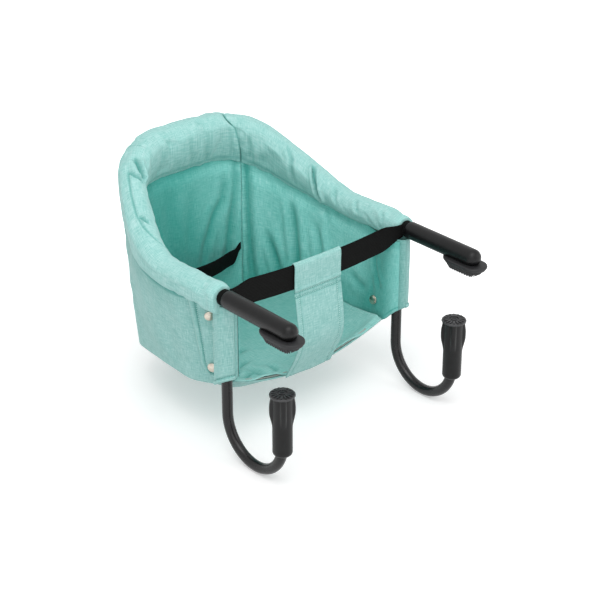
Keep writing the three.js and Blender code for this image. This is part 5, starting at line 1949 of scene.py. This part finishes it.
    def waist_belt(self) -> None:
        """The belt that stands off the back lining between its two slits."""
        shape = self.shape
        grid = np.empty((81, 7, 3))
        for i, t in enumerate(np.linspace(-1, 1, 81)):
            s = t * self.waist_span / 2 + self.waist_more * max(t, 0)
            top, foot, out = shape.lining_column(s)
            stand = (shape.lining_t + self.belt_t) / 2 + 0.2 + self.waist_bow * (1 - t * t)
            turned = float(ease(t, 0.8, 1.0))
            for j, across in enumerate(np.linspace(-0.5, 0.5, 7)):
                z = self.waist_z + across * self.waist_w * (1 - 0.55 * turned) + 15 * turned**2
                grid[i, j] = mix(top, foot, (top[2] - z) / (top[2] - foot[2])) - out * stand
        piece = thick_sheet("waist_belt_band", grid, self.belt_t * 0.9)
        settle(piece, "frame", self.finishes.webbing, ["waist_belt"])

    def build(self) -> None:
        """Makes the belts and the tab."""
        self.front_belt()
        self.crotch_tab()
        self.waist_belt()


@dataclass
class Arms:
    """Sleeves and rubber pads of the two arms.

    Attributes:
        boat: How much more a pad's hull narrows at its ends.
        tail: Length of a pad's rear round, as a share of half its width.
        hull: Height, inset and share of the teeth for each ring of a pad.
    """

    finishes: Finishes
    sides: int = 48
    tooth: float = 4.8
    tooth_h: float = 2.4
    tooth_in: float = 1.6
    boat: float = 0.9
    tail: float = 1.3
    hull: tuple = (
        (2.4, 12.5, 0), (0.0, 11.0, 1), (0.2, 6.6, 1), (1.2, 6.0, 1), (2.8, 5.2, 1), (4.6, 4.4, 1),
        (6.6, 3.4, 1), (8.2, 2.6, 1), (8.8, 2.4, 0), (10.0, 2.4, 0), (10.8, 1.6, 0), (11.4, 0.6, 0),
        (12.4, 0.0, 0), (14.2, 0.0, 0), (15.2, 0.5, 0), (15.8, 1.4, 0), (16.0, 2.6, 0))

    def sleeve(self, side: Side) -> None:
        """The plastic sleeve with its domed end and rounded rear edge.

        Args:
            side: The side of the chair.
        """
        low, high = node_box(f"{side.word}_arm_sleeve")
        r = (high[0] - low[0]) / 2
        x, z = (low[0] + high[0]) / 2, (low[2] + high[2]) / 2
        profile = [(r * 0.62, 0), (r - 2.2, 0), (r - 1.0, 0.35), (r - 0.25, 1.2), (r, 2.4)]
        length = high[1] - low[1]
        profile += [(r, h) for h in np.linspace(8, length - r, 12)]
        profile += [(r * math.cos(a), length - r + r * math.sin(a)) for a in np.linspace(0.12, 1.5, 14)]
        rings = turned_rings(profile, self.sides)
        rings = np.stack([x + rings[..., 0], high[1] - rings[..., 2], z + rings[..., 1]], axis=-1)
        piece = ring_loft(f"{side.word}_sleeve_grip", rings)
        settle(piece, "frame", self.finishes.plastic, [f"{side.word}_arm_sleeve"])

    def pad(self, side: Side) -> None:
        """The rubber pad: a lip round the sleeve over a boat's hull with fine teeth.

        Args:
            side: The side of the chair.
        """
        low, high = node_box(f"{side.word}_arm_pad")
        r = (high[0] - low[0]) / 2
        x, front, rear = (low[0] + high[0]) / 2, low[1] + r, high[1] - self.tail * r
        turn = np.linspace(0, math.pi, 76)
        straight = np.linspace(0, 1, 62)[1:-1]
        ahead = [(r * math.cos(a), front + r * math.sin(a)) for a in turn + math.pi]
        behind = [(r * math.cos(a), rear + self.tail * r * math.sin(a)) for a in turn]
        line = ahead + [(r, mix(front, rear, t)) for t in straight]
        line = np.array(line + behind + [(-r, mix(rear, front, t)) for t in straight])
        way = np.roll(line, -1, axis=0) - np.roll(line, 1, axis=0)
        out = unit(np.stack([way[:, 1], -way[:, 0]], axis=1))
        run = np.cumsum(np.linalg.norm(np.diff(line, axis=0, prepend=line[-1:]), axis=1))
        comb = 0.5 + 0.5 * np.sign(np.sin(2 * math.pi * run / self.tooth))
        rings = []
        for z, inset, teeth in self.hull:
            ends = 1 + self.boat * teeth * out[:, 1] ** 2
            plan = line - out * (inset * ends + self.tooth_in * teeth * comb)[:, None]
            level = low[2] + z + teeth * self.tooth_h * comb * (1 - z / 9)
            rings.append(np.column_stack([x + plan[:, 0], plan[:, 1], level]))
        piece = ring_loft(f"{side.word}_pad_sole", np.array(rings))
        settle(piece, "frame", self.finishes.rubber, [f"{side.word}_arm_pad"])

    def build(self) -> None:
        """Makes the sleeves and pads."""
        for side in Side:
            self.sleeve(side)
            self.pad(side)


@dataclass
class Clamps:
    """Hook tubes, knobs and ribbed discs.

    Attributes:
        wing_turn: Degrees by which the left and the right knob's wings are turned.
        crown: Solid end of the knob over its bore.
    """

    shape: BucketShape
    finishes: Finishes
    wing_count: int = 4
    wing_turn: tuple = (55.0, 44.0)
    wing_reach: float = 18.6
    wing_r: float = 4.3
    wing_h: float = 48.0
    barrel_r: float = 14.25
    bore_r: float = 10.2
    crown: float = 6.0

    def hook(self, side: Side) -> None:
        """The J-shaped tube, swept smoothly.

        Args:
            side: The side of the chair.
        """
        word = side.word
        low, high = node_box(f"{word}_hook_tube")
        tube_r, post_y = self.shape.hoop.tube_r, self.shape.hook_y
        bend = post_y / 2
        centre_z = low[2] + tube_r + bend
        x = side.value * self.shape.hook_x
        path = [(x, post_y, z) for z in np.linspace(high[2], centre_z, 24)]
        for a in np.linspace(0, math.pi, 49)[1:]:
            path.append((x, bend + bend * math.cos(a), centre_z - bend * math.sin(a)))
        path = np.array(path)
        way = unit(np.gradient(path, axis=0))
        across = np.array([1.0, 0, 0])
        up = unit(np.cross(way, across))
        turn = round_angles(28)
        rings = path[:, None] + tube_r * (
            np.cos(turn)[None, :, None] * across + np.sin(turn)[None, :, None] * up[:, None])
        piece = ring_loft(f"{word}_hook_bar", rings)
        settle(piece, f"{word}_hook", self.finishes.steel, [f"{word}_hook_tube"])

    def ring(self, side: Side, angle: Array, r: Array, z: float) -> Array:
        """Points round a knob's axis at a height."""
        x = side.value * self.shape.hook_x + r * np.cos(angle)
        return np.stack([x, r * np.sin(angle), np.full(len(angle), z)], axis=1)

    def knob(self, side: Side) -> None:
        """The knob: a smooth barrel with four rounded wings at its upper half.

        Args:
            side: The side of the chair.
        """
        word = side.word
        low, high = node_box(f"{word}_knob")
        total = high[2] - low[2]
        turn0 = math.radians(self.wing_turn[side is Side.RIGHT])
        sides = 128
        angle = round_angles(sides)
        heights = np.concatenate([
            np.array([0, 0.4, 1.2, 2.6, 4.6]), np.linspace(8, 38, 8), np.linspace(41, 52, 12),
            np.linspace(56, total - 7, 7), total - np.array([4.5, 2.6, 1.2, 0.4, 0])])
        bore = [(self.bore_r, total - self.crown), (self.bore_r, 0.6), (self.bore_r + 0.3, 0.0)]
        rings = [self.ring(side, angle, np.full(sides, r), low[2] + h) for r, h in bore]
        start = total - self.wing_h
        half = math.pi / self.wing_count
        off = (angle - turn0 + half) % (2 * half) - half
        arm = self.wing_reach - self.wing_r
        side_way = arm * np.abs(np.sin(off))
        reach = arm * np.cos(off) + np.sqrt(np.maximum(self.wing_r**2 - side_way**2, 0))
        reach = np.where(side_way < self.wing_r, reach, 0)
        for h in heights:
            body = self.barrel_r - 3.4 * (1 - min(h / 5, 1)) ** 2 - 0.9 * (1 - min((total - h) / 3, 1)) ** 2
            grown = float(ease(h, start - 2, start + 24)) * (1 - 0.45 * float(ease(h, total - 16, total)))
            wing = body + (np.maximum(reach, body) - body) * grown
            wing = sum(share * np.roll(wing, k) for share, k in ((0.25, -1), (0.5, 0), (0.25, 1)))
            rings.append(self.ring(side, angle, np.maximum(wing, body), low[2] + h))
        piece = ring_loft(f"{word}_knob_grip", np.array(rings))
        settle(piece, f"{word}_knob", self.finishes.plastic, [f"{word}_knob"])

    def build(self) -> None:
        """Makes both clamps."""
        finishes = self.finishes
        kept = {
            "clamp_pad": finishes.disc, "threaded_rod": finishes.zinc, "hook_collar": finishes.zinc,
            "knob_nut": finishes.zinc, "pad_screw": finishes.dull_zinc, "hook_bracket": finishes.steel,
            "bracket_screw": finishes.zinc,
        }
        for side in Side:
            self.hook(side)
            self.knob(side)
            for name, finish in kept.items():
                dress(f"{side.word}_{name}", finish)


@dataclass
class Snaps:
    """Domed caps on the flaps, and the studs' round plates and posts in the panels.

    Attributes:
        post: Size of a post as a share of a cap.
        lean: How a plate leans off the lining.
        levels: Name and height of each snap, and how far its cap leans to the front.
        profile: Radius as a share, and height, along a dome.
    """

    shape: BucketShape
    finishes: Finishes
    radius: float = 7.2
    post: float = 0.62
    post_out: float = 0.2
    cap_out: float = 2.6
    plate_in: float = 6.2
    lean: tuple = (0, -0.3, 0.2)
    levels: tuple = (("upper", -19.0, 0.7), ("lower", -104.0, 0.35))
    profile: tuple = (
        (0.9, -0.5), (1.0, 0.2), (0.98, 0.8), (0.9, 1.3), (0.86, 1.25), (0.8, 1.6), (0.5, 2.3), (0.2, 2.6),
        (0.02, 2.65))

    def dome(self, name: str, centre: Array, out: Array, share: float = 1.0) -> Piece:
        """A round dome.

        Args:
            name: The piece's name.
            centre: Middle of its foot.
            out: The way that it looks.
            share: Its size as a share of its full size.

        Returns:
            The new object.
        """
        across = unit(np.cross(out, np.array([0, 0, 1.0])))
        up = np.cross(across, out)
        rings = turned_rings([(r * self.radius * share, h * share) for r, h in self.profile], 40)
        return ring_loft(name, centre + rings @ np.stack([across, up, out]))

    def build(self) -> None:
        """Makes the caps, plates and posts of both sides."""
        shape, finishes = self.shape, self.finishes
        face = shape.panel_t / 2 + shape.flap_gap + shape.flap_t + self.cap_out
        plate = shape.panel_t / 2 + self.plate_in
        for side in Side:
            word = side.word
            for level, z, turn in self.levels:
                centre, out = shape.wall_at(shape.hook_y + shape.snap_back + 2, z)
                front = unit(out + np.array([0, -turn, 0.1 * turn]))
                inner = unit(np.array(self.lean) - out)
                snap = f"{word}_{level}"
                domes = (
                    ("cap_dome", face, front, 1.0, f"{word}_flap", finishes.nickel, [f"{snap}_snap_cap"]),
                    ("stud_plate", -plate, inner, 1.0, "frame", finishes.stud, [f"{snap}_snap_stud"]),
                    ("stud_post", self.post_out, out, self.post, "frame", finishes.stud, []),
                )
                for name, away, way, share, body, finish, nodes in domes:
                    foot = mirrored(centre + out * away, side)
                    settle(self.dome(f"{snap}_{name}", foot, mirrored(way, side), share), body, finish, nodes)


@dataclass
class Studio:
    """Floor, light and camera of the photograph's view.

    Attributes:
        lamps: Name, place, size and power of each lamp.
        sky: Strength of the world's light, and how much more of it the camera sees.
        glow: Near and far distance on the floor, and the strength of its own light at both.
    """

    camera: tuple = (-1.4707, -1.5306, 1.0789)
    tilt: float = 63.16
    turn: float = -41.11
    lens: float = 102.08
    frame_w: float = 36.0
    lamps: tuple = (
        ("overhead", (-0.6, -0.6, 1.9), 1.5, 20.5), ("front left", (-1.6, -1.3, 1.0), 1.2, 5.2),
        ("front right", (1.3, -1.6, 0.9), 1.2, 6.6))
    target: tuple = (0.0, 0.2, 0.0)
    sky: tuple = (0.7, 0.36)
    floor_half: float = 6.0
    floor_tone: float = 0.82
    glow: tuple = (0.22, 0.8, 0.3, 0.9)

    def seen_white(self, sheet: NodeSheet) -> Socket:
        """1 for the rays that show the background: camera, glossy and transmission rays.

        Args:
            sheet: The nodes that it joins.

        Returns:
            The value's socket.
        """
        path = sheet.add("ShaderNodeLightPath")
        seen = sheet.math("MAXIMUM", path.outputs["Is Camera Ray"], path.outputs["Is Glossy Ray"])
        return sheet.math("MAXIMUM", seen, path.outputs["Is Transmission Ray"])

    def floor(self) -> None:
        """A wide pale floor that keeps the chair's shadow."""
        level, half = CAD_BOX[0][2], self.floor_half
        mesh = bpy.data.meshes.new("floor")
        corners = ((-half, -half), (half, -half), (half, half), (-half, half))
        mesh.from_pydata([(x, y, level) for x, y in corners], [], [(0, 1, 2, 3)])
        piece = placed("floor", mesh)
        look = bpy.data.materials.new("floor white")
        look.use_nodes = True
        look.node_tree.nodes.clear()
        sheet = NodeSheet(look.node_tree)
        matt = sheet.add("ShaderNodeBsdfDiffuse", {"Color": (*[self.floor_tone] * 3, 1)})
        place = sheet.add("ShaderNodeNewGeometry").outputs["Position"]
        middle = (0.0, 0.15, level)
        far = sheet.add("ShaderNodeVectorMath", {0: place, 1: middle}, operation="DISTANCE").outputs["Value"]
        lift = sheet.add("ShaderNodeMapRange", dict(enumerate((far, *self.glow)))).outputs[0]
        glow = sheet.add("ShaderNodeEmission", {
            "Color": (1, 1, 1, 1), "Strength": sheet.math("MULTIPLY", self.seen_white(sheet), lift)})
        both = sheet.add("ShaderNodeAddShader", {0: matt.outputs[0], 1: glow.outputs[0]})
        sheet.add("ShaderNodeOutputMaterial", {"Surface": both.outputs[0]})
        mesh.materials.append(look)

    def lamp(self, name: str, place: tuple, size: float, power: float) -> None:
        """One square soft lamp.

        Args:
            name: Its name.
            place: Where it stands, in metres.
            size: Width of its square.
            power: Its power in watts.
        """
        data = bpy.data.lights.new(name, "AREA")
        data.shape, data.size, data.energy = "SQUARE", size, power
        lamp = placed(name, data)
        lamp.location = place
        lamp.rotation_mode = "QUATERNION"
        lamp.rotation_quaternion = (Vector(self.target) - Vector(place)).to_track_quat("-Z", "Y")

    def build(self) -> None:
        """Makes the floor, lamps, world and camera."""
        scene = bpy.context.scene
        scene.view_settings.view_transform = "Standard"
        self.floor()
        for lamp in self.lamps:
            self.lamp(*lamp)
        world = bpy.data.worlds.new("studio")
        world.use_nodes = True
        world.node_tree.nodes.clear()
        sheet = NodeSheet(world.node_tree)
        base, more = self.sky
        strength = sheet.math("ADD", sheet.math("MULTIPLY", self.seen_white(sheet), more), base)
        sky = sheet.add("ShaderNodeBackground", {"Color": (1, 1, 1, 1), "Strength": strength})
        sheet.add("ShaderNodeOutputWorld", {"Surface": sky.outputs[0]})
        scene.world = world
        data = bpy.data.cameras.new("photo view")
        data.lens, data.sensor_width = self.lens, self.frame_w
        data.clip_start, data.clip_end = 0.05, 50.0
        camera = placed("photo view", data)
        camera.location = self.camera
        camera.rotation_euler = (math.radians(self.tilt), 0.0, math.radians(self.turn))
        scene.camera = camera


def main() -> None:
    """Builds the studio, then each sub-assembly in turn."""
    logging.basicConfig(level=logging.INFO, format="%(message)s")
    Studio().build()
    finishes = Finishes()
    stitches = StitchRows(finishes.thread)
    hoop = Hoop()
    rim = PaddedRim(hoop, finishes)
    shape = BucketShape(hoop, rim)
    dress("hoop_tube", finishes.steel)
    dress("seat_board", finishes.board)
    rim.build()
    ClothWalls(shape, finishes).build()
    for side in Side:
        CornerFlap(shape, finishes, stitches, side).build()
    Belts(shape, finishes, stitches).build()
    Arms(finishes).build()
    Clamps(shape, finishes).build()
    Snaps(shape, finishes).build()


if __name__ == "__main__":
    main()
